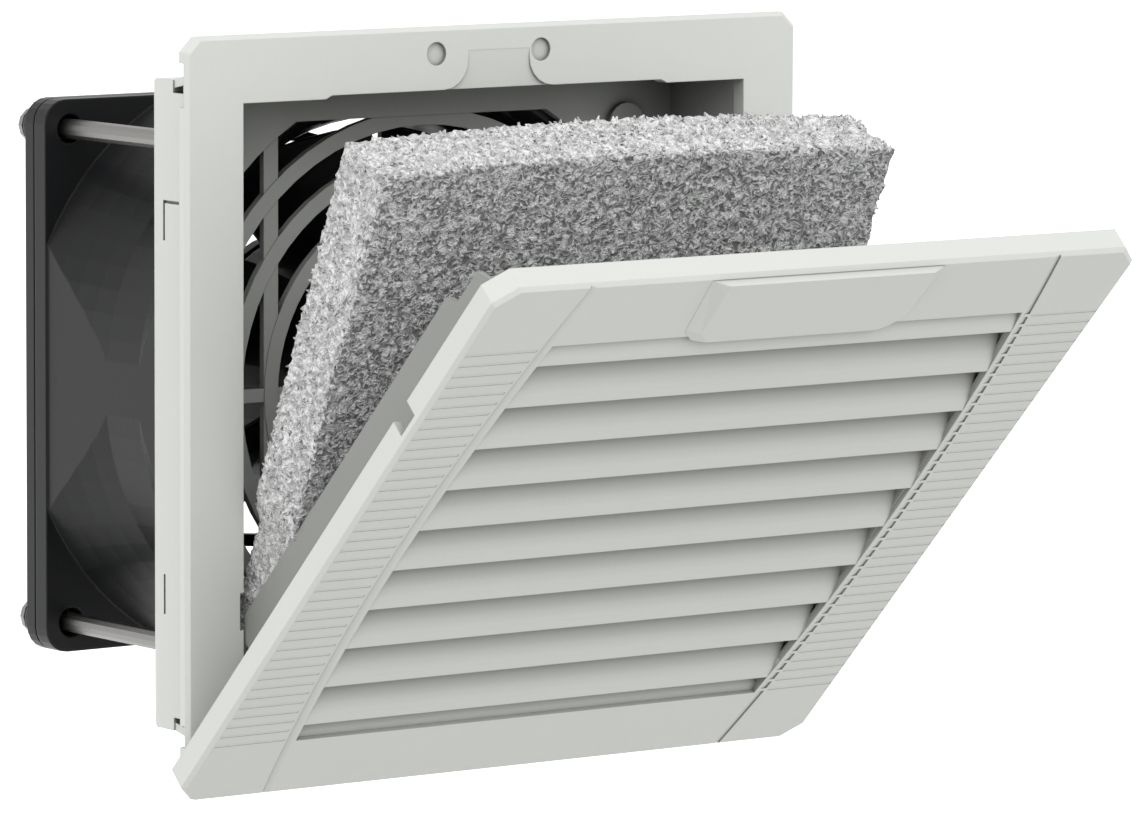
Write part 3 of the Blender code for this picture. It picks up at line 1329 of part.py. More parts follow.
def main():
    clear_scene()
    shell = make_material("light_grey_plastic", (0.68, 0.69, 0.66), 0.55)
    foam = make_material("gasket_foam", (0.05, 0.05, 0.05), 0.95)
    mat = make_material("filter_fleece", (0.55, 0.56, 0.56), 1.0)
    black = make_material("black_casting", (0.018, 0.019, 0.02), 0.5, 0.3)
    blade = make_material("black_blade_plastic", (0.02, 0.02, 0.022), 0.45)
    steel = make_material("zinc_plated_steel", (0.6, 0.59, 0.57), 0.3, 1.0)
    rubber = make_material("washer_rubber", (0.012, 0.012, 0.012), 0.7)
    brass = make_material("bearing_bronze", (0.5, 0.36, 0.17), 0.4, 1.0)
    copper = make_material("winding_copper", (0.55, 0.2, 0.08), 0.4, 1.0)
    terminal = make_material("terminal_insulator", (0.03, 0.03, 0.03), 0.6)
    build_mounting_frame(shell)
    build_panel_gasket(foam)
    build_front_cover(shell)
    build_filter_mat(mat)
    build_fan_housing(black)
    build_impeller(blade)
    build_rotor_cup(steel)
    build_motor(steel, brass, copper)
    build_rear_guard(black)
    build_screws(steel, rubber)
    build_terminals(terminal, steel)


main()
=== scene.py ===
"""Looks for the cabinet filter fan: finishes, fleece, fine moulded lines, light and camera."""

import json
import math
import random

import bmesh
import bpy
from bpy.props import FloatProperty, FloatVectorProperty, PointerProperty
from mathutils import Matrix, Vector, noise


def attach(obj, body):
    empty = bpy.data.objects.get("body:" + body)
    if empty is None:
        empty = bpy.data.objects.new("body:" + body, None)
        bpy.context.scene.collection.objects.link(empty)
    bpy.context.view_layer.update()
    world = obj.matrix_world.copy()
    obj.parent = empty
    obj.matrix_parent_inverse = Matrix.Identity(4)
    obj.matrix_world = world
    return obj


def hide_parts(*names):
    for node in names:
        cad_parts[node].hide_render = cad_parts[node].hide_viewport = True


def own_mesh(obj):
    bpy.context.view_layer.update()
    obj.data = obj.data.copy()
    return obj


bl_info = {
    "name": "Cabinet Filter Fan Looks",
    "version": (1, 0, 0),
    "blender": (4, 5, 0),
    "location": "View3D > Sidebar > Filter Fan",
    "description": "Finishes, fleece, fine moulded lines, light and camera of a cabinet filter fan",
    "category": "Object",
}

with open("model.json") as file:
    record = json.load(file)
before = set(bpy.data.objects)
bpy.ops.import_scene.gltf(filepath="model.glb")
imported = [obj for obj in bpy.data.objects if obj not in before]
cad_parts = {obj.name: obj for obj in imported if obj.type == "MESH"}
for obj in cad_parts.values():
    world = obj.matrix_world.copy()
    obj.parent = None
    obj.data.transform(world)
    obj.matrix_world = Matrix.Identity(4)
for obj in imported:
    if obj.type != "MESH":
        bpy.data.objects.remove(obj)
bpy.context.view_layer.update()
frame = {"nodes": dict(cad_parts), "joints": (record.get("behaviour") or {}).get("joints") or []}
NODES = frame["nodes"]
JOINTS = {joint["name"]: joint for joint in frame["joints"]}
HINGE = Vector(JOINTS["cover_hinge"]["pos_m"])
COVER_ANGLE = -JOINTS["cover_hinge"]["range_deg"][0]
MAT_PER_COVER = 0.524
MAT_TILT = COVER_ANGLE * MAT_PER_COVER
MM = 0.001
MERGE_DISTANCE = 1e-6
LEAST_LENGTH = 1e-5

# The cover when shut, in mm: the depth of its face from the hinge, and its lower edge's height from it
COVER_FACE_Y = -1.45
COVER_RISE = -3.75

# The long seams, in mm: half their distance, the height where it is greatest, and their bow and ends
SEAM_MIDDLE = 44.2
SEAM_CENTRE = 54.15
SEAM_RADIUS = 347.5
SEAM_LOW = -0.4
SEAM_HIGH = 108.7
SEAM_STEPS = 50
SEAM_DASH = 0.72
CUTTER_HEIGHT = 1.0

# The fine level lines, in mm: the lowest and highest, and their inner and outer ends
LINES_LOW = 12.8
LINES_HIGH = 96.0
LINE_FROM_SEAM = 0.5
LINE_END = 53.8

# Shading of the cut cover: the angle of a sharp edge, and how level a flat face is at least
SHARP_DEGREES = 9
LEVEL_LIMIT = 0.9999

# Fields with painted shade that deepens with depth, in mm: the slats of the shut cover and the inside of
# the collar
SLAT_DEPTHS = (-1.45, 1.5)
SLATS_HALF_WIDTH = 45.2
SLATS_HALF_HEIGHT = 48.0
COLLAR_DEPTHS = (-2.3, 3.5)
COLLAR_HALF = 44.6

# The fleece's form, in mm of height: where its swell begins and is full, and how far down the crown reaches
SWELL_FROM = 31
SWELL_FULL = 38
CROWN_REACH = 30

# The share of the crown's rise at the mat's front, and what it gains towards the back
CROWN_FRONT = 0.9
CROWN_GAIN = 0.15

# The fleece's tufts: noise frequency per mm and its share of the tuft height
TUFT_BROAD = (0.85, 0.75)
TUFT_FINE = (1.9, 0.6)
TUFT_WANDER = (1.4, 0.35)

# The seed of the fleece's noise and of its random numbers
FLEECE_SEED = 17

# Loose fibre ends, as shares: the shortest, the held ones in the collar, their sideways lean and their tips
FIBRE_LEAST = 0.35
FIBRE_HELD = 0.55
FIBRE_LEAN = 0.7
FIBRE_TIP = 0.22

# Faces that look further down than this carry no fibre ends, and those that look further forward held ones
FIBRE_FACING = -0.6

# The fleece's front is painted greyer than its cut edges, as painted shade, fading out between these
# depths, in mm.
# Its painted shade between the fibres maps from one range to another, and is strongest on the front
FRONT_SHADE_ENDS = (0.8, 1.1)
FIBRE_SHADE_FROM = (0.5, 1.1)
FIBRE_SHADE_TO = (0.3, 1.06)
FIBRE_SHADE_STRENGTH = (1.0, 0.62)

# Finishes of one colour. A grain is its scale, the mottling's scale, the tone's spread and its depth in m
PLAIN_FINISHES = {
    "Foam Gasket": dict(
        colour=(0.03, 0.03, 0.03), roughness=0.95, grain=(3000.0, 300.0, 0.5, 0.0001)),
    "Black Plastic": dict(
        colour=(0.012, 0.012, 0.013), roughness=0.38, grain=(2200.0, 90.0, 0.2, 0.00002),
        soft_edge=0.0003),
    "Washer Rubber": dict(
        colour=(0.012, 0.012, 0.012), roughness=0.6, grain=(1500.0, 200.0, 0.3, 0.00003)),
    "Sintered Bronze": dict(
        colour=(0.46, 0.32, 0.16), roughness=0.5, grain=(3000.0, 400.0, 0.3, 0.00003), metallic=1.0),
    "Winding Wire": dict(
        colour=(0.45, 0.17, 0.07), roughness=0.35, grain=(900.0, 200.0, 0.5, 0.0001), metallic=1.0),
}
SHELL_GRAIN = (2600.0, 90.0, 0.05)
SHELL_ROUGHNESS = 0.5
FLEECE_ROUGHNESS = 0.9
FLEECE_BUMP = 0.00025
CASTING_GRAIN = (1800.0, 120.0, 0.25, 0.00002)
CASTING_EDGE = 0.0004
BLACK_ROUGHNESS = 0.38
BLACK_SPECULAR = 0.24
RING_SCALES = (200.0, 9000.0, 200.0)
RING_ROUGHNESS = (0.26, 0.46)
RING_BUMP = 0.00002
EDGE_SAMPLES = 6
SHADE_SAMPLES = 8

# The camera that the photograph was taken with, fitted to points on the object
CAMERA_PLACE = (-0.68078, -0.93916, 0.12677)
CAMERA_RIGHT = (0.80392947, -0.59471351, 0.00363965)
CAMERA_UP = (0.06262876, 0.09074379, 0.99390301)
CAMERA_BEHIND = (-0.59141782, -0.79879998, 0.11019778)
SENSOR_WIDTH = 36.0
FAR_LIMIT = 20.0

# The lamps: place and size in m, and the setting with the power. All aim at one point
LAMP_TARGET = (0.0, -0.02, 0.0)
LAMPS = {
    "front_lamp": ((-0.55, -1.15, 0.5), (1.1, 0.8), "front_power"),
    "upper_lamp": ((-0.3, -1.0, 1.0), (0.8, 0.8), "upper_power"),
    "left_lamp": ((-1.25, 0.7, 0.05), (0.9, 0.9), "left_power"),
}
FLOOR_HALF = 4.0
FLOOR_ROUGHNESS = 0.9
WHITE = (1.0, 1.0, 1.0, 1.0)


class ShellSettings(bpy.types.PropertyGroup):
    colour: FloatVectorProperty(
        name="Shell Colour", description="Light grey of the moulded frame and cover",
        subtype="COLOR", size=3, min=0.0, max=1.0, default=(0.74, 0.757, 0.717))
    grain_depth: FloatProperty(
        name="Grain Depth", description="Height of the moulded grain", unit="LENGTH",
        min=0.0, max=0.0002, default=0.00002, precision=6)
    edge_radius: FloatProperty(
        name="Edge Radius", description="Softened edge of the moulded pieces", unit="LENGTH",
        min=0.0, max=0.001, default=0.00022, precision=5)
    # Painted shade in the recesses: how far from a wall it reaches and how dark it is
    recess_reach: FloatProperty(
        name="Recess Reach", description="How far from a wall a recess is darker", unit="LENGTH",
        min=0.0, max=0.05, default=0.012, precision=4)
    recess_depth: FloatProperty(
        name="Recess Depth", description="How much darker the recesses are", min=0.0, max=2.0, default=1.1)
    # Painted shade that deepens with depth: its tone at the roots of the slats and skirts, and inside the
    # collar
    slat_shade: FloatProperty(
        name="Slat Shade", description="Tone of the deepest part of the slats and skirts",
        min=0.0, max=1.0, default=0.42)
    collar_shade: FloatProperty(
        name="Collar Shade", description="Tone of the grille and the inner walls of the collar",
        min=0.0, max=1.0, default=0.6)
    line_pitch: FloatProperty(
        name="Line Pitch", description="Distance between the fine lines at the cover's sides",
        unit="LENGTH", min=0.0005, max=0.01, default=0.002132, precision=6)
    line_width: FloatProperty(
        name="Line Width", description="Width of a fine line", unit="LENGTH",
        min=0.00005, max=0.001, default=0.00045, precision=5)
    line_depth: FloatProperty(
        name="Line Depth", description="Depth of a fine line", unit="LENGTH",
        min=0.00002, max=0.001, default=0.00004, precision=5)
    seam_width: FloatProperty(
        name="Seam Width", description="Width of the slope beside each long seam", unit="LENGTH",
        min=0.0002, max=0.003, default=0.0011, precision=5)
    seam_depth: FloatProperty(
        name="Seam Depth", description="Height of the step at each long seam", unit="LENGTH",
        min=0.00002, max=0.001, default=0.00024, precision=5)


class FleeceSettings(bpy.types.PropertyGroup):
    edge_colour: FloatVectorProperty(
        name="Edge Colour", description="Colour of the mat's cut edges", subtype="COLOR",
        size=3, min=0.0, max=1.0, default=(1.0, 1.0, 1.0))
    # The front's grey is painted shade on the same fleece as the cut edges
    shaded_face_colour: FloatVectorProperty(
        name="Face Colour", description="Colour of the mat's front layer", subtype="COLOR",
        size=3, min=0.0, max=1.0, default=(0.84, 0.845, 0.845))
    cell: FloatProperty(
        name="Cell", description="Size of the mesh cells that carry the tufts", unit="LENGTH",
        min=0.0003, max=0.003, default=0.0005, precision=5)
    tuft: FloatProperty(
        name="Tuft", description="Height of the tufts", unit="LENGTH",
        min=0.0, max=0.002, default=0.0005, precision=5)
    fibre: FloatProperty(
        name="Fibre", description="Length of the longest loose fibre ends", unit="LENGTH",
        min=0.0, max=0.002, default=0.0006, precision=5)
    fibre_share: FloatProperty(
        name="Fibre Share", description="Share of the mesh cells that carry a fibre end",
        min=0.0, max=1.0, default=0.22)
    swell: FloatProperty(
        name="Swell", description="How far the mat stands out past the skirts on each side",
        unit="LENGTH", min=0.0, max=0.005, default=0.0019, precision=5)
    crown: FloatProperty(
        name="Crown", description="How far the middle of the top edge bows up", unit="LENGTH",
        min=0.0, max=0.005, default=0.0015, precision=5)


class CastingSettings(bpy.types.PropertyGroup):
    colour: FloatVectorProperty(
        name="Casting Colour", description="Black paint of the fan's housing", subtype="COLOR",
        size=3, min=0.0, max=1.0, default=(0.0115, 0.012, 0.013))
    steel: FloatVectorProperty(
        name="Steel Colour", description="Zinc plated steel of the screws", subtype="COLOR",
        size=3, min=0.0, max=1.0, default=(0.25, 0.244, 0.235))


class StageSettings(bpy.types.PropertyGroup):
    floor_height: FloatProperty(
        name="Floor Height", description="Height of the pale floor", unit="LENGTH", default=-0.16)
    floor_tone: FloatProperty(
        name="Floor Tone", description="Share of the light that the floor sends back",
        min=0.0, max=1.0, default=0.56)
    floor_glow: FloatProperty(
        name="Floor Glow", description="Light that the floor adds where the camera sees it",
        min=0.0, max=2.0, default=0.9)
    lens: FloatProperty(name="Lens", description="Focal length in millimetres", default=259.005)
    front_power: FloatProperty(
        name="Front Lamp", description="Power of the lamp in front", unit="POWER", default=1.8)
    upper_power: FloatProperty(
        name="Upper Lamp", description="Power of the lamp in front and above", unit="POWER", default=3.0)
    left_power: FloatProperty(
        name="Left Lamp", description="Power of the lamp at the left", unit="POWER", default=3.4)
    ambient: FloatProperty(
        name="Ambient", description="Strength of the light from all round", min=0.0, max=2.0, default=0.9)


def feed(tree, socket, value):
    """Gives an input a fixed value or another node's output."""
    if isinstance(value, bpy.types.NodeSocket):
        tree.links.new(value, socket)
    else:
        socket.default_value = value


def calculated(tree, operation, *values, clamp=False):
    """Adds a Math node and returns its output."""
    node = tree.nodes.new("ShaderNodeMath")
    node.operation = operation
    node.use_clamp = clamp
    for socket, value in zip(node.inputs, values):
        feed(tree, socket, value)
    return node.outputs["Value"]


def ranged(tree, value, source, target, kind="LINEAR"):
    """Adds a Map Range node from one (least, most) pair to another and returns its output."""
    node = tree.nodes.new("ShaderNodeMapRange")
    node.interpolation_type = kind
    limits = zip(("From Min", "From Max", "To Min", "To Max"), (*source, *target))
    for name, limit in limits:
        node.inputs[name].default_value = limit
    tree.links.new(value, node.inputs["Value"])
    return node.outputs["Result"]


def mixed(tree, blend, factor, first, second):
    """Adds a Mix node for colours and returns its output."""
    node = tree.nodes.new("ShaderNodeMix")
    node.data_type = "RGBA"
    node.blend_type = blend
    feed(tree, node.inputs["Factor"], factor)
    feed(tree, node.inputs["A"], first)
    feed(tree, node.inputs["B"], second)
    return node.outputs["Result"]


def speckled(tree, place, kind="FBM", **amounts):
    """Adds a Noise Texture, whose other inputs are given by name, and returns its value."""
    node = tree.nodes.new("ShaderNodeTexNoise")
    node.noise_type = kind
    tree.links.new(place, node.inputs["Vector"])
    for name, amount in amounts.items():
        feed(tree, node.inputs[name.title()], amount)
    return node.outputs["Fac"]


def object_place(tree):
    """Adds the Object coordinates and returns them."""
    return tree.nodes.new("ShaderNodeTexCoord").outputs["Object"]


def moved_place(tree, **amounts):
    """Adds a Mapping node on the Object coordinates and returns its output."""
    node = tree.nodes.new("ShaderNodeMapping")
    node.vector_type = "POINT"
    tree.links.new(object_place(tree), node.inputs["Vector"])
    for name, amount in amounts.items():
        node.inputs[name.title()].default_value = amount
    return node.outputs["Vector"]


def split_place(tree, place):
    """Adds a Separate XYZ node and returns its outputs."""
    node = tree.nodes.new("ShaderNodeSeparateXYZ")
    tree.links.new(place, node.inputs["Vector"])
    return node.outputs


def principled(tree):
    """The main shader of a material."""
    return tree.nodes["Principled BSDF"]


def bumped(tree, height, distance, strength=1.0, normal=None):
    """Adds a Bump node to a material's surface."""
    node = tree.nodes.new("ShaderNodeBump")
    node.inputs["Strength"].default_value = strength
    node.inputs["Distance"].default_value = distance
    tree.links.new(height, node.inputs["Height"])
    if normal is not None:
        tree.links.new(normal, node.inputs["Normal"])
    tree.links.new(node.outputs["Normal"], principled(tree).inputs["Normal"])


def number_group(name, inputs, outputs):
    """A node group of numbers, with the nodes at its two ends."""
    group = bpy.data.node_groups.new(name, "ShaderNodeTree")
    for label, default in inputs.items():
        socket = group.interface.new_socket(name=label, in_out="INPUT", socket_type="NodeSocketFloat")
        socket.default_value = default
    for label in outputs:
        group.interface.new_socket(name=label, in_out="OUTPUT", socket_type="NodeSocketFloat")
    return group, group.nodes.new("NodeGroupInput"), group.nodes.new("NodeGroupOutput")


def grain_group():
    """Fine uneven surface of a moulded or painted part: a tone near 1 and a height."""
    inputs = {"Grain Scale": 1500.0, "Mottle Scale": 60.0, "Tone Spread": 0.03}
    group, start, end = number_group("Fine Surface Grain", inputs, ("Tone", "Height"))
    place = object_place(group)
    fine = speckled(group, place, scale=start.outputs["Grain Scale"], detail=3.0)
    broad = speckled(group, place, scale=start.outputs["Mottle Scale"], detail=2.0)
    mean = calculated(group, "MULTIPLY_ADD", broad, 0.5, calculated(group, "MULTIPLY", fine, 0.5))
    centred = calculated(group, "SUBTRACT", mean, 0.5)
    tone = calculated(group, "MULTIPLY_ADD", centred, start.outputs["Tone Spread"], 1.0)
    group.links.new(tone, end.inputs["Tone"])
    group.links.new(fine, end.inputs["Height"])
    return group


def painted_recess_shade_group():
    """Mask of painted shade in the recesses of a piece: 1 on open faces, less where the piece shades
    itself.
    """
    inputs = {"Reach": 0.01, "Depth": 0.6}
    group, start, end = number_group("Recess Mask", inputs, ("Mask",))
    shade = group.nodes.new("ShaderNodeAmbientOcclusion")
    shade.samples = SHADE_SAMPLES
    shade.only_local = True
    group.links.new(start.outputs["Reach"], shade.inputs["Distance"])
    closed = calculated(group, "SUBTRACT", 1.0, shade.outputs["AO"])
    scaled = calculated(group, "MULTIPLY", closed, start.outputs["Depth"])
    kept = calculated(group, "SUBTRACT", 1.0, scaled, clamp=True)
    group.links.new(kept, end.inputs["Mask"])
    return group


def shared_group(tree, name, maker):
    """Adds one of the shared groups to a material."""
    node = tree.nodes.new("ShaderNodeGroup")
    node.node_tree = bpy.data.node_groups.get(name) or maker()
    return node


def material(name, colour, roughness, metallic=0.0):
    """A plain material."""
    item = bpy.data.materials.new(name)
    item.use_nodes = True
    shader = principled(item.node_tree)
    shader.inputs["Base Color"].default_value = (*colour, 1.0)
    shader.inputs["Roughness"].default_value = roughness
    shader.inputs["Metallic"].default_value = metallic
    return item


def grained(name, colour, roughness, grain, metallic=0.0, soft_edge=0.0):
    """A material with the shared grain: its tone on the colour and its height as bump."""
    item = material(name, colour, roughness, metallic)
    tree = item.node_tree
    group = shared_group(tree, "Fine Surface Grain", grain_group)
    *amounts, depth = grain
    for label, amount in zip(("Grain Scale", "Mottle Scale", "Tone Spread"), amounts):
        group.inputs[label].default_value = amount
    paint = mixed(tree, "MULTIPLY", 1.0, (*colour, 1.0), group.outputs["Tone"])
    tree.links.new(paint, principled(tree).inputs["Base Color"])
    normal = None
    if soft_edge:
        rounding = tree.nodes.new("ShaderNodeBevel")
        rounding.samples = EDGE_SAMPLES
        rounding.inputs["Radius"].default_value = soft_edge
        normal = rounding.outputs["Normal"]
    bumped(tree, group.outputs["Height"], depth, normal=normal)
    return item


def with_painted_shade(item, mask):
    """Multiplies the colour of a grained material by a mask of painted shade."""
    tree = item.node_tree
    source = principled(tree).inputs["Base Color"].links[0].from_socket
    shade = mixed(tree, "MULTIPLY", 1.0, source, mask)
    tree.links.new(shade, principled(tree).inputs["Base Color"])
    return item


def dress(item, *names):
    """Gives carried-over pieces one finish."""
    for name in names:
        data = NODES[name].data
        data.materials.clear()
        data.materials.append(item)


def new_piece(name, mesh, item, body):
    """Makes a piece of a bmesh, on one body and with the finish of one slot."""
    data = bpy.data.meshes.new(name)
    mesh.to_mesh(data)
    mesh.free()
    data.materials.append(item)
    piece = bpy.data.objects.new(name, data)
    bpy.context.scene.collection.objects.link(piece)
    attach(piece, body)
    return piece


def shell_finish_and_painted_shade(name):
    """The moulded shell's finish, with painted shade in its recesses."""
    look = bpy.context.scene.shell_look
    grain = (*SHELL_GRAIN, look.grain_depth)
    item = grained(name, look.colour, SHELL_ROUGHNESS, grain, soft_edge=look.edge_radius)
    group = shared_group(item.node_tree, "Recess Mask", painted_recess_shade_group)
    group.inputs["Reach"].default_value = look.recess_reach
    group.inputs["Depth"].default_value = look.recess_depth
    return with_painted_shade(item, group.outputs["Mask"])


def painted_depth_shade_finish(name, back, middle, half_width, half_height, depths, tone):
    """The shell's finish with painted shade that deepens with depth inside an upright field of a piece.

    The matrix takes the piece to where the field is upright, with its depth along Y. Places are in mm.
    """
    item = shell_finish_and_painted_shade(name)
    tree = item.node_tree
    upright = split_place(tree, moved_place(tree, location=back.translation, rotation=back.to_euler()))
    limits = [depth * MM for depth in depths]
    part = ranged(tree, upright["Y"], limits, (0.0, 1.0 - tone), "SMOOTHSTEP")
    for axis, centre, half in (("X", 0.0, half_width), ("Z", middle, half_height)):
        within = calculated(tree, "COMPARE", upright[axis], centre * MM, half * MM)
        part = calculated(tree, "MULTIPLY", part, within)
    return with_painted_shade(item, calculated(tree, "SUBTRACT", 1.0, part))


def cover_finish_and_painted_shade():
    """The cover's finish, with painted shade at the roots of the slats and on the skirts."""
    back = cover_matrix().inverted()
    return painted_depth_shade_finish("Moulded Cover", back, SEAM_CENTRE + COVER_RISE, SLATS_HALF_WIDTH,
                       SLATS_HALF_HEIGHT, SLAT_DEPTHS, bpy.context.scene.shell_look.slat_shade)


def frame_finish_and_painted_shade():
    """The mounting frame's finish, with painted shade inside the collar."""
    return painted_depth_shade_finish("Moulded Frame", Matrix(), 0.0, COLLAR_HALF, COLLAR_HALF, COLLAR_DEPTHS,
                       bpy.context.scene.shell_look.collar_shade)


def swung(angle):
    """Takes a piece, as it lies about the hinge with the cover shut, to its place at rest."""
    return Matrix.Translation(HINGE) @ Matrix.Rotation(math.radians(angle), 4, "X")


def cover_matrix():
    """Takes the cover from shut to its open rest place."""
    return swung(COVER_ANGLE)


def merged_copy(name):
    """A bmesh of a carried-over piece with its loose triangles joined."""
    mesh = bmesh.new()
    mesh.from_mesh(NODES[name].data)
    bmesh.ops.remove_doubles(mesh, verts=mesh.verts, dist=MERGE_DISTANCE)
    return mesh


def cut(piece, mesh):
    """Cuts a mesh out of a piece and keeps the result."""
    data = bpy.data.meshes.new("cutter")
    mesh.to_mesh(data)
    mesh.free()
    tool = bpy.data.objects.new("cutter", data)
    bpy.context.scene.collection.objects.link(tool)
    modifier = piece.modifiers.new("Groove", "BOOLEAN")
    modifier.object = tool
    modifier.operation = "DIFFERENCE"
    modifier.solver = "EXACT"
    with bpy.context.temp_override(object=piece, active_object=piece):
        bpy.ops.object.modifier_apply(modifier=modifier.name)
    bpy.data.objects.remove(tool)
    bpy.data.meshes.remove(data)


def seam_half(height):
    """Half the distance between the two long seams at a height on the cover, in mm."""
    return SEAM_MIDDLE - (height - SEAM_CENTRE) ** 2 / (2 * SEAM_RADIUS)


def bar(mesh, start, end, width, depth):
    """Adds a cutter along a line on the cover's face, given as two (across, height) points in mm."""
    first = Vector((start[0], COVER_FACE_Y, start[1] + COVER_RISE)) * MM
    last = Vector((end[0], COVER_FACE_Y, end[1] + COVER_RISE)) * MM
    run = last - first
    made = bmesh.ops.create_cube(mesh, size=1.0)["verts"]
    bmesh.ops.scale(mesh, vec=(run.length, depth * 2, width), verts=made)
    turn = Matrix.Rotation(math.atan2(-run.z, run.x), 3, "Y")
    bmesh.ops.rotate(mesh, cent=(0, 0, 0), matrix=turn, verts=made)
    bmesh.ops.translate(mesh, vec=(first + last) / 2, verts=made)


def line_cutters(look):
    """The fine level lines at both sides of the cover."""
    mesh = bmesh.new()
    count = int((LINES_HIGH - LINES_LOW) * MM / look.line_pitch) + 1
    for number in range(count):
        height = LINES_LOW + number * look.line_pitch / MM
        inner = seam_half(height) + LINE_FROM_SEAM
        for side in (-1, 1):
            bar(mesh, (side * inner, height), (side * LINE_END, height), look.line_width, look.line_depth)
    return mesh


def seam_cutters(look):
    """The two long seams that bow out beside the slats, as steps. The lines break up the right one."""
    mesh = bmesh.new()
    width = look.seam_width / MM
    pitch = look.line_pitch / MM
    gap = (1 - SEAM_DASH) * pitch / 2
    runs = [(-1, SEAM_LOW, SEAM_HIGH), (1, SEAM_LOW, LINES_LOW - gap)]
    count = int((LINES_HIGH - LINES_LOW) / pitch)
    for number in range(count):
        low = LINES_LOW + number * pitch
        runs.append((1, low + gap, low + pitch - gap))
    runs.append((1, LINES_LOW + count * pitch + gap, SEAM_HIGH))
    for side, low, high in runs:
        made = bmesh.ops.create_cube(mesh, size=1.0)["verts"]
        bmesh.ops.scale(mesh, vec=(width, CUTTER_HEIGHT, high - low), verts=made)
        middle = (side * (SEAM_MIDDLE - width / 2), COVER_FACE_Y - CUTTER_HEIGHT / 2, (low + high) / 2)
        bmesh.ops.translate(mesh, vec=middle, verts=made)
    for number in range(1, SEAM_STEPS):
        height = SEAM_LOW + (SEAM_HIGH - SEAM_LOW) * number / SEAM_STEPS
        parts = [*mesh.verts, *mesh.edges, *mesh.faces]
        bmesh.ops.bisect_plane(mesh, geom=parts, plane_co=(0, 0, height), plane_no=(0, 0, 1))
    for vertex in mesh.verts:
        place = vertex.co
        share = (abs(place.x) - SEAM_MIDDLE + width) / width
        place.y += share * look.seam_depth / MM
        place.x += math.copysign(seam_half(place.z) - SEAM_MIDDLE, -place.x)
        place.z += COVER_RISE
    bmesh.ops.scale(mesh, vec=(MM, MM, MM), verts=mesh.verts)
    return mesh


class FILTERFAN_OT_shell(bpy.types.Operator):
    """Give the mounting frame and its gasket their finish"""

    bl_idname = "filterfan.shell"
    bl_label = "Mounting Frame Finish"

    def execute(self, context):
        dress(frame_finish_and_painted_shade(), "mounting_frame")
        dress(grained("Foam Gasket", **PLAIN_FINISHES["Foam Gasket"]), "panel_gasket")
        return {"FINISHED"}


class FILTERFAN_OT_cover(bpy.types.Operator):
    """Cut the fine lines and the long seams into the cover"""

    bl_idname = "filterfan.cover"
    bl_label = "Louvred Cover"

    def execute(self, context):
        look = context.scene.shell_look
        piece = new_piece("louvred_cover", merged_copy("front_cover"), cover_finish_and_painted_shade(), "cover")
        for cutters in (line_cutters(look), seam_cutters(look)):
            cutters.transform(cover_matrix())
            cut(piece, cutters)
        piece.data.shade_smooth()
        piece.data.set_sharp_from_angle(angle=math.radians(SHARP_DEGREES))
        outward = cover_matrix().to_3x3() @ Vector((0, 1, 0))
        for face in piece.data.polygons:
            face.use_smooth = abs(face.normal.dot(outward)) < LEVEL_LIMIT
        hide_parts("front_cover")
        return {"FINISHED"}


def eased(value, low, high):
    """Rises smoothly from 0 at low to 1 at high."""
    share = min(max((value - low) / (high - low), 0.0), 1.0)
    return share * share * (3 - 2 * share)


def fleece_form(mesh, look, near, far):
    """Widens the mat above the skirts and bows its top edge, as it lies with the cover shut."""
    half = (far.x - near.x) / 2
    for vertex in mesh.verts:
        place = vertex.co
        wide = eased(place.z, SWELL_FROM * MM, SWELL_FULL * MM)
        across = place.x / half
        place.x += across * look.swell * wide
        arch = max(1 - across * across, 0.0)
        rise = look.crown * (CROWN_FRONT + CROWN_GAIN * (place.y - near.y) / (far.y - near.y))
        place.z += rise * arch * eased(place.z, far.z - CROWN_REACH * MM, far.z)


def fleece_tufts(mesh, look):
    """Roughens the mat and draws loose fibre ends out of it."""
    mesh.normal_update()
    noise.seed_set(FLEECE_SEED)
    moves = []
    for vertex in mesh.verts:
        place = vertex.co / MM
        tuft = sum(noise.noise(place * rate) * share for rate, share in (TUFT_BROAD, TUFT_FINE))
        wander = noise.noise_vector(place * TUFT_WANDER[0]) * TUFT_WANDER[1]
        moves.append((vertex, (vertex.normal * tuft + wander) * look.tuft))
    for vertex, move in moves:
        vertex.co += move
    chance = random.Random(FLEECE_SEED)
    chosen = [face for face in mesh.faces
              if chance.random() < look.fibre_share and face.normal.z > FIBRE_FACING]
    made = bmesh.ops.extrude_discrete_faces(mesh, faces=chosen)["faces"]
    for face in made:
        middle = face.calc_center_median()
        outward = face.normal
        free = middle.z > SWELL_FULL * MM and outward.y > FIBRE_FACING
        length = FIBRE_LEAST + (1 - FIBRE_LEAST) * chance.random()
        reach = look.fibre * length * (1.0 if free else FIBRE_HELD)
        aside = Vector(chance.uniform(-1, 1) for axis in range(3)) * look.fibre * FIBRE_LEAN
        aside -= outward * aside.dot(outward)
        shift = outward * reach + aside
        for vertex in face.verts:
            vertex.co = middle + (vertex.co - middle) * FIBRE_TIP + shift


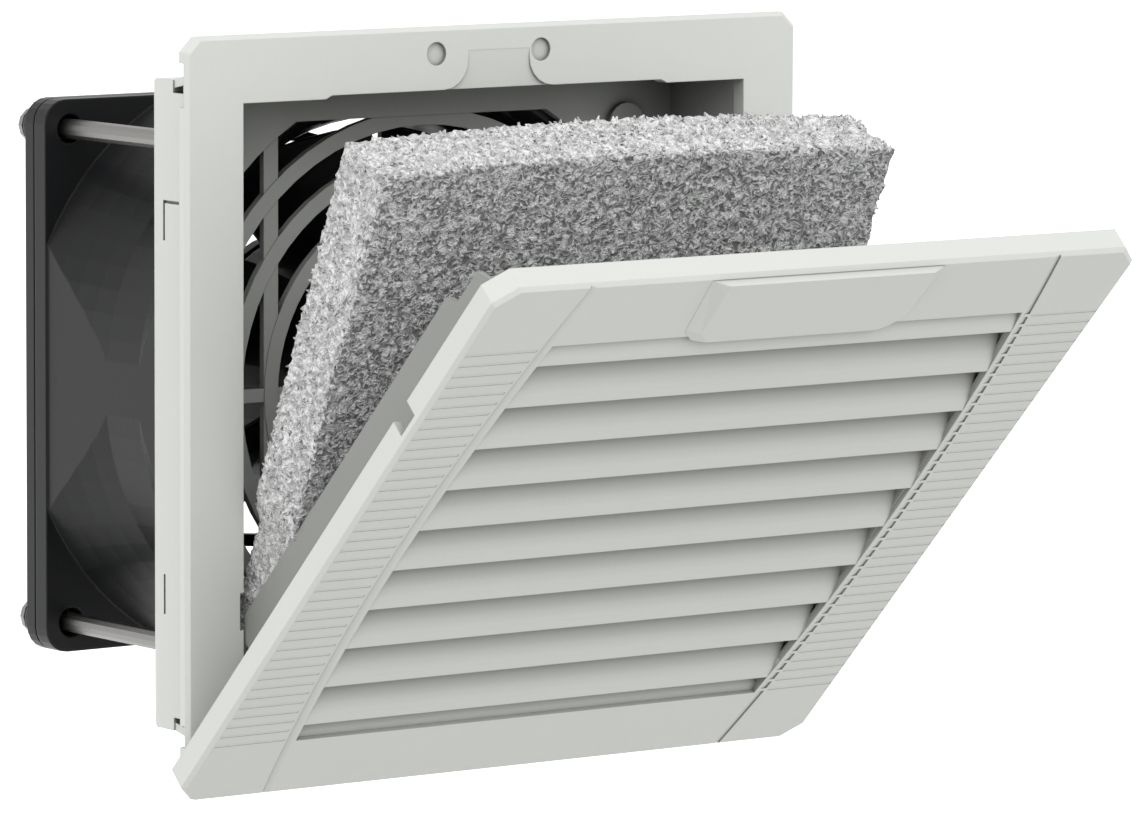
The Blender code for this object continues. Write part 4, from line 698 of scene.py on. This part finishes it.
class FILTERFAN_OT_fleece(bpy.types.Operator):
    """Model the coarse fleece of the filter mat"""

    bl_idname = "filterfan.fleece"
    bl_label = "Filter Mat"

    def execute(self, context):
        look = context.scene.fleece_look
        turn = swung(MAT_TILT)
        back = turn.inverted()
        corners = [back @ vertex.co for vertex in NODES["filter_mat"].data.vertices]
        near = Vector(min(corner[axis] for corner in corners) for axis in range(3))
        far = Vector(max(corner[axis] for corner in corners) for axis in range(3))
        size = far - near
        mesh = bmesh.new()
        bmesh.ops.create_cube(mesh, size=1.0)
        bmesh.ops.scale(mesh, vec=size - Vector((1, 1, 1)) * look.tuft, verts=mesh.verts)
        bmesh.ops.translate(mesh, vec=(near + far) / 2, verts=mesh.verts)
        for axis in range(3):
            along = [edge for edge in mesh.edges
                     if abs((edge.verts[0].co - edge.verts[1].co)[axis]) > LEAST_LENGTH]
            bmesh.ops.subdivide_edges(
                mesh, edges=along, cuts=round(size[axis] / look.cell), use_grid_fill=True)
        fleece_form(mesh, look, near, far)
        fleece_tufts(mesh, look)
        mesh.transform(turn)
        piece = new_piece("filter_fleece", mesh, fleece_finish(look, near), "filter")
        piece.data.shade_smooth()
        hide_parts("filter_mat")
        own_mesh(piece)
        return {"FINISHED"}


def fleece_finish(look, near):
    """The fleece's finish: its front painted greyer than the pale cut edges, as painted shade, with painted
    shade between the fibres as dark specks.
    """
    item = material("Coarse Fleece", look.edge_colour, FLEECE_ROUGHNESS)
    tree = item.node_tree
    leaning = split_place(tree, moved_place(tree, rotation=(-math.radians(MAT_TILT), 0.0, 0.0)))
    front = (Matrix.Rotation(-math.radians(MAT_TILT), 4, "X") @ HINGE).y + near.y
    ends = [front + depth * MM for depth in FRONT_SHADE_ENDS]
    front_shade = ranged(tree, leaning["Y"], ends, (0.0, 1.0))
    paint = mixed(tree, "MIX", front_shade, (*look.shaded_face_colour, 1.0), (*look.edge_colour, 1.0))
    speck = speckled(tree, object_place(tree), "RIDGED_MULTIFRACTAL", scale=1000.0, detail=2.0,
                     roughness=0.6, offset=1.0, distortion=1.0)
    # Painted shade between the fibres: the ridged noise darkens the colour, most on the front; the same
    # noise is also the bump
    fibre_shade = ranged(tree, speck, FIBRE_SHADE_FROM, FIBRE_SHADE_TO)
    strength = ranged(tree, front_shade, (0.0, 1.0), FIBRE_SHADE_STRENGTH)
    shade = mixed(tree, "MULTIPLY", strength, paint, fibre_shade)
    tree.links.new(shade, principled(tree).inputs["Base Color"])
    bumped(tree, speck, FLEECE_BUMP)
    return item


class FILTERFAN_OT_fan(bpy.types.Operator):
    """Give the fan, its guard and its motor their finishes"""

    bl_idname = "filterfan.fan"
    bl_label = "Fan Finish"

    def execute(self, context):
        look = context.scene.casting_look
        casting = grained(
            "Black Casting", look.colour, BLACK_ROUGHNESS, CASTING_GRAIN, soft_edge=CASTING_EDGE)
        plastic, rubber, bronze, copper = [
            grained(name, **PLAIN_FINISHES[name])
            for name in ("Black Plastic", "Washer Rubber", "Sintered Bronze", "Winding Wire")]
        for item in (casting, plastic):
            principled(item.node_tree).inputs["Specular IOR Level"].default_value = BLACK_SPECULAR
        steel = steel_finish(look)
        dress(casting, "fan_housing")
        dress(plastic, "rear_finger_guard", "impeller", "terminal_block")
        dress(rubber, *[f"screw_washer_{number}" for number in range(1, 5)])
        dress(steel, *[f"fan_screw_{number}" for number in range(1, 5)])
        dress(steel, "rotor_cup", "rotor_shaft", "shaft_clip", "stator_core")
        dress(steel, "terminal_tab_1", "terminal_tab_2")
        dress(bronze, "bearing_front", "bearing_rear")
        dress(copper, "winding_front", "winding_rear")
        return {"FINISHED"}


def steel_finish(look):
    """Plated steel with fine rings round the screws' length."""
    item = material("Plated Steel", look.steel, RING_ROUGHNESS[0], 1.0)
    tree = item.node_tree
    rings = speckled(tree, moved_place(tree, scale=RING_SCALES), scale=1.0, detail=2.0)
    rough = ranged(tree, rings, (0.0, 1.0), RING_ROUGHNESS)
    tree.links.new(rough, principled(tree).inputs["Roughness"])
    bumped(tree, rings, RING_BUMP, strength=0.5)
    return item


def lamp(name, place, size, power):
    """Adds a rectangular lamp that aims at the object."""
    data = bpy.data.lights.new(name, "AREA")
    data.shape = "RECTANGLE"
    data.size = size[0]
    data.size_y = size[1]
    data.energy = power
    item = bpy.data.objects.new(name, data)
    item.location = place
    direction = Vector(LAMP_TARGET) - Vector(place)
    item.rotation_euler = direction.to_track_quat("-Z", "Y").to_euler()
    bpy.context.scene.collection.objects.link(item)


def photo_camera(scene, lens):
    """Sets the camera of the photograph."""
    data = bpy.data.cameras.new("photo_camera")
    data.lens = lens
    data.sensor_width = SENSOR_WIDTH
    data.sensor_fit = "HORIZONTAL"
    data.clip_end = FAR_LIMIT
    camera = bpy.data.objects.new("photo_camera", data)
    axes = Matrix((CAMERA_RIGHT, CAMERA_UP, CAMERA_BEHIND)).transposed().to_4x4()
    camera.matrix_world = Matrix.Translation(CAMERA_PLACE) @ axes
    scene.collection.objects.link(camera)
    scene.camera = camera


class FILTERFAN_OT_stage(bpy.types.Operator):
    """Set the floor, the white surroundings, the lamps and the camera"""

    bl_idname = "filterfan.stage"
    bl_label = "Floor, Light and Camera"

    def execute(self, context):
        scene = context.scene
        look = scene.stage_look
        scene.view_settings.view_transform = "Standard"
        photo_camera(scene, look.lens)
        mesh = bmesh.new()
        bmesh.ops.create_grid(mesh, x_segments=1, y_segments=1, size=FLOOR_HALF)
        bmesh.ops.translate(mesh, vec=(0.0, 0.0, look.floor_height), verts=mesh.verts)
        data = bpy.data.meshes.new("floor")
        mesh.to_mesh(data)
        mesh.free()
        data.materials.append(floor_finish(look))
        floor = bpy.data.objects.new("floor", data)
        scene.collection.objects.link(floor)
        white_world(scene)
        for name, (place, size, power) in LAMPS.items():
            lamp(name, place, size, getattr(look, power))
        return {"FINISHED"}


def shown_rays(tree):
    """1 for the rays that show a surface: from the camera, off gloss and through glass."""
    path = tree.nodes.new("ShaderNodeLightPath").outputs
    either = calculated(tree, "MAXIMUM", path["Is Camera Ray"], path["Is Glossy Ray"])
    return calculated(tree, "MAXIMUM", either, path["Is Transmission Ray"])


def floor_finish(look):
    """Pale floor that shows white to the camera apart from the object's shadow."""
    colour = (look.floor_tone, look.floor_tone, look.floor_tone)
    item = material("Pale Floor", colour, FLOOR_ROUGHNESS)
    tree = item.node_tree
    glow = tree.nodes.new("ShaderNodeEmission")
    strength = calculated(tree, "MULTIPLY", shown_rays(tree), look.floor_glow)
    tree.links.new(strength, glow.inputs["Strength"])
    both = tree.nodes.new("ShaderNodeAddShader")
    tree.links.new(principled(tree).outputs["BSDF"], both.inputs[0])
    tree.links.new(glow.outputs["Emission"], both.inputs[1])
    tree.links.new(both.outputs["Shader"], tree.nodes["Material Output"].inputs["Surface"])
    return item


def white_world(scene):
    """Surroundings that show white and light the object a little less than they show."""
    world = bpy.data.worlds.new("White Surroundings")
    world.use_nodes = True
    scene.world = world
    tree = world.node_tree
    light = tree.nodes["Background"]
    seen = tree.nodes.new("ShaderNodeBackground")
    for node, strength in ((light, scene.stage_look.ambient), (seen, 1.0)):
        node.inputs["Color"].default_value = WHITE
        node.inputs["Strength"].default_value = strength
    blend = tree.nodes.new("ShaderNodeMixShader")
    tree.links.new(shown_rays(tree), blend.inputs["Fac"])
    tree.links.new(light.outputs["Background"], blend.inputs[1])
    tree.links.new(seen.outputs["Background"], blend.inputs[2])
    tree.links.new(blend.outputs["Shader"], tree.nodes["World Output"].inputs["Surface"])


class FILTERFAN_PT_panel(bpy.types.Panel):
    """Lists the steps that dress the filter fan"""

    bl_idname = "FILTERFAN_PT_panel"
    bl_label = "Filter Fan"
    bl_space_type = "VIEW_3D"
    bl_region_type = "UI"
    bl_category = "Filter Fan"

    def draw(self, context):
        layout = self.layout
        for step in STEPS:
            layout.operator(step.bl_idname)
        for group in SETTINGS:
            values = getattr(context.scene, group)
            box = layout.box()
            for name in values.__annotations__:
                box.prop(values, name)


SETTINGS = {
    "shell_look": ShellSettings,
    "fleece_look": FleeceSettings,
    "casting_look": CastingSettings,
    "stage_look": StageSettings,
}
STEPS = (
    FILTERFAN_OT_shell, FILTERFAN_OT_cover, FILTERFAN_OT_fleece, FILTERFAN_OT_fan, FILTERFAN_OT_stage)
CLASSES = (*SETTINGS.values(), *STEPS, FILTERFAN_PT_panel)


def register():
    for item in CLASSES:
        bpy.utils.register_class(item)
    for name, group in SETTINGS.items():
        setattr(bpy.types.Scene, name, PointerProperty(type=group))


def unregister():
    for name in SETTINGS:
        delattr(bpy.types.Scene, name)
    for item in reversed(CLASSES):
        bpy.utils.unregister_class(item)


def main():
    register()
    bpy.ops.filterfan.stage()
    bpy.ops.filterfan.shell()
    bpy.ops.filterfan.cover()
    bpy.ops.filterfan.fleece()
    bpy.ops.filterfan.fan()


if __name__ == "__main__":
    main()
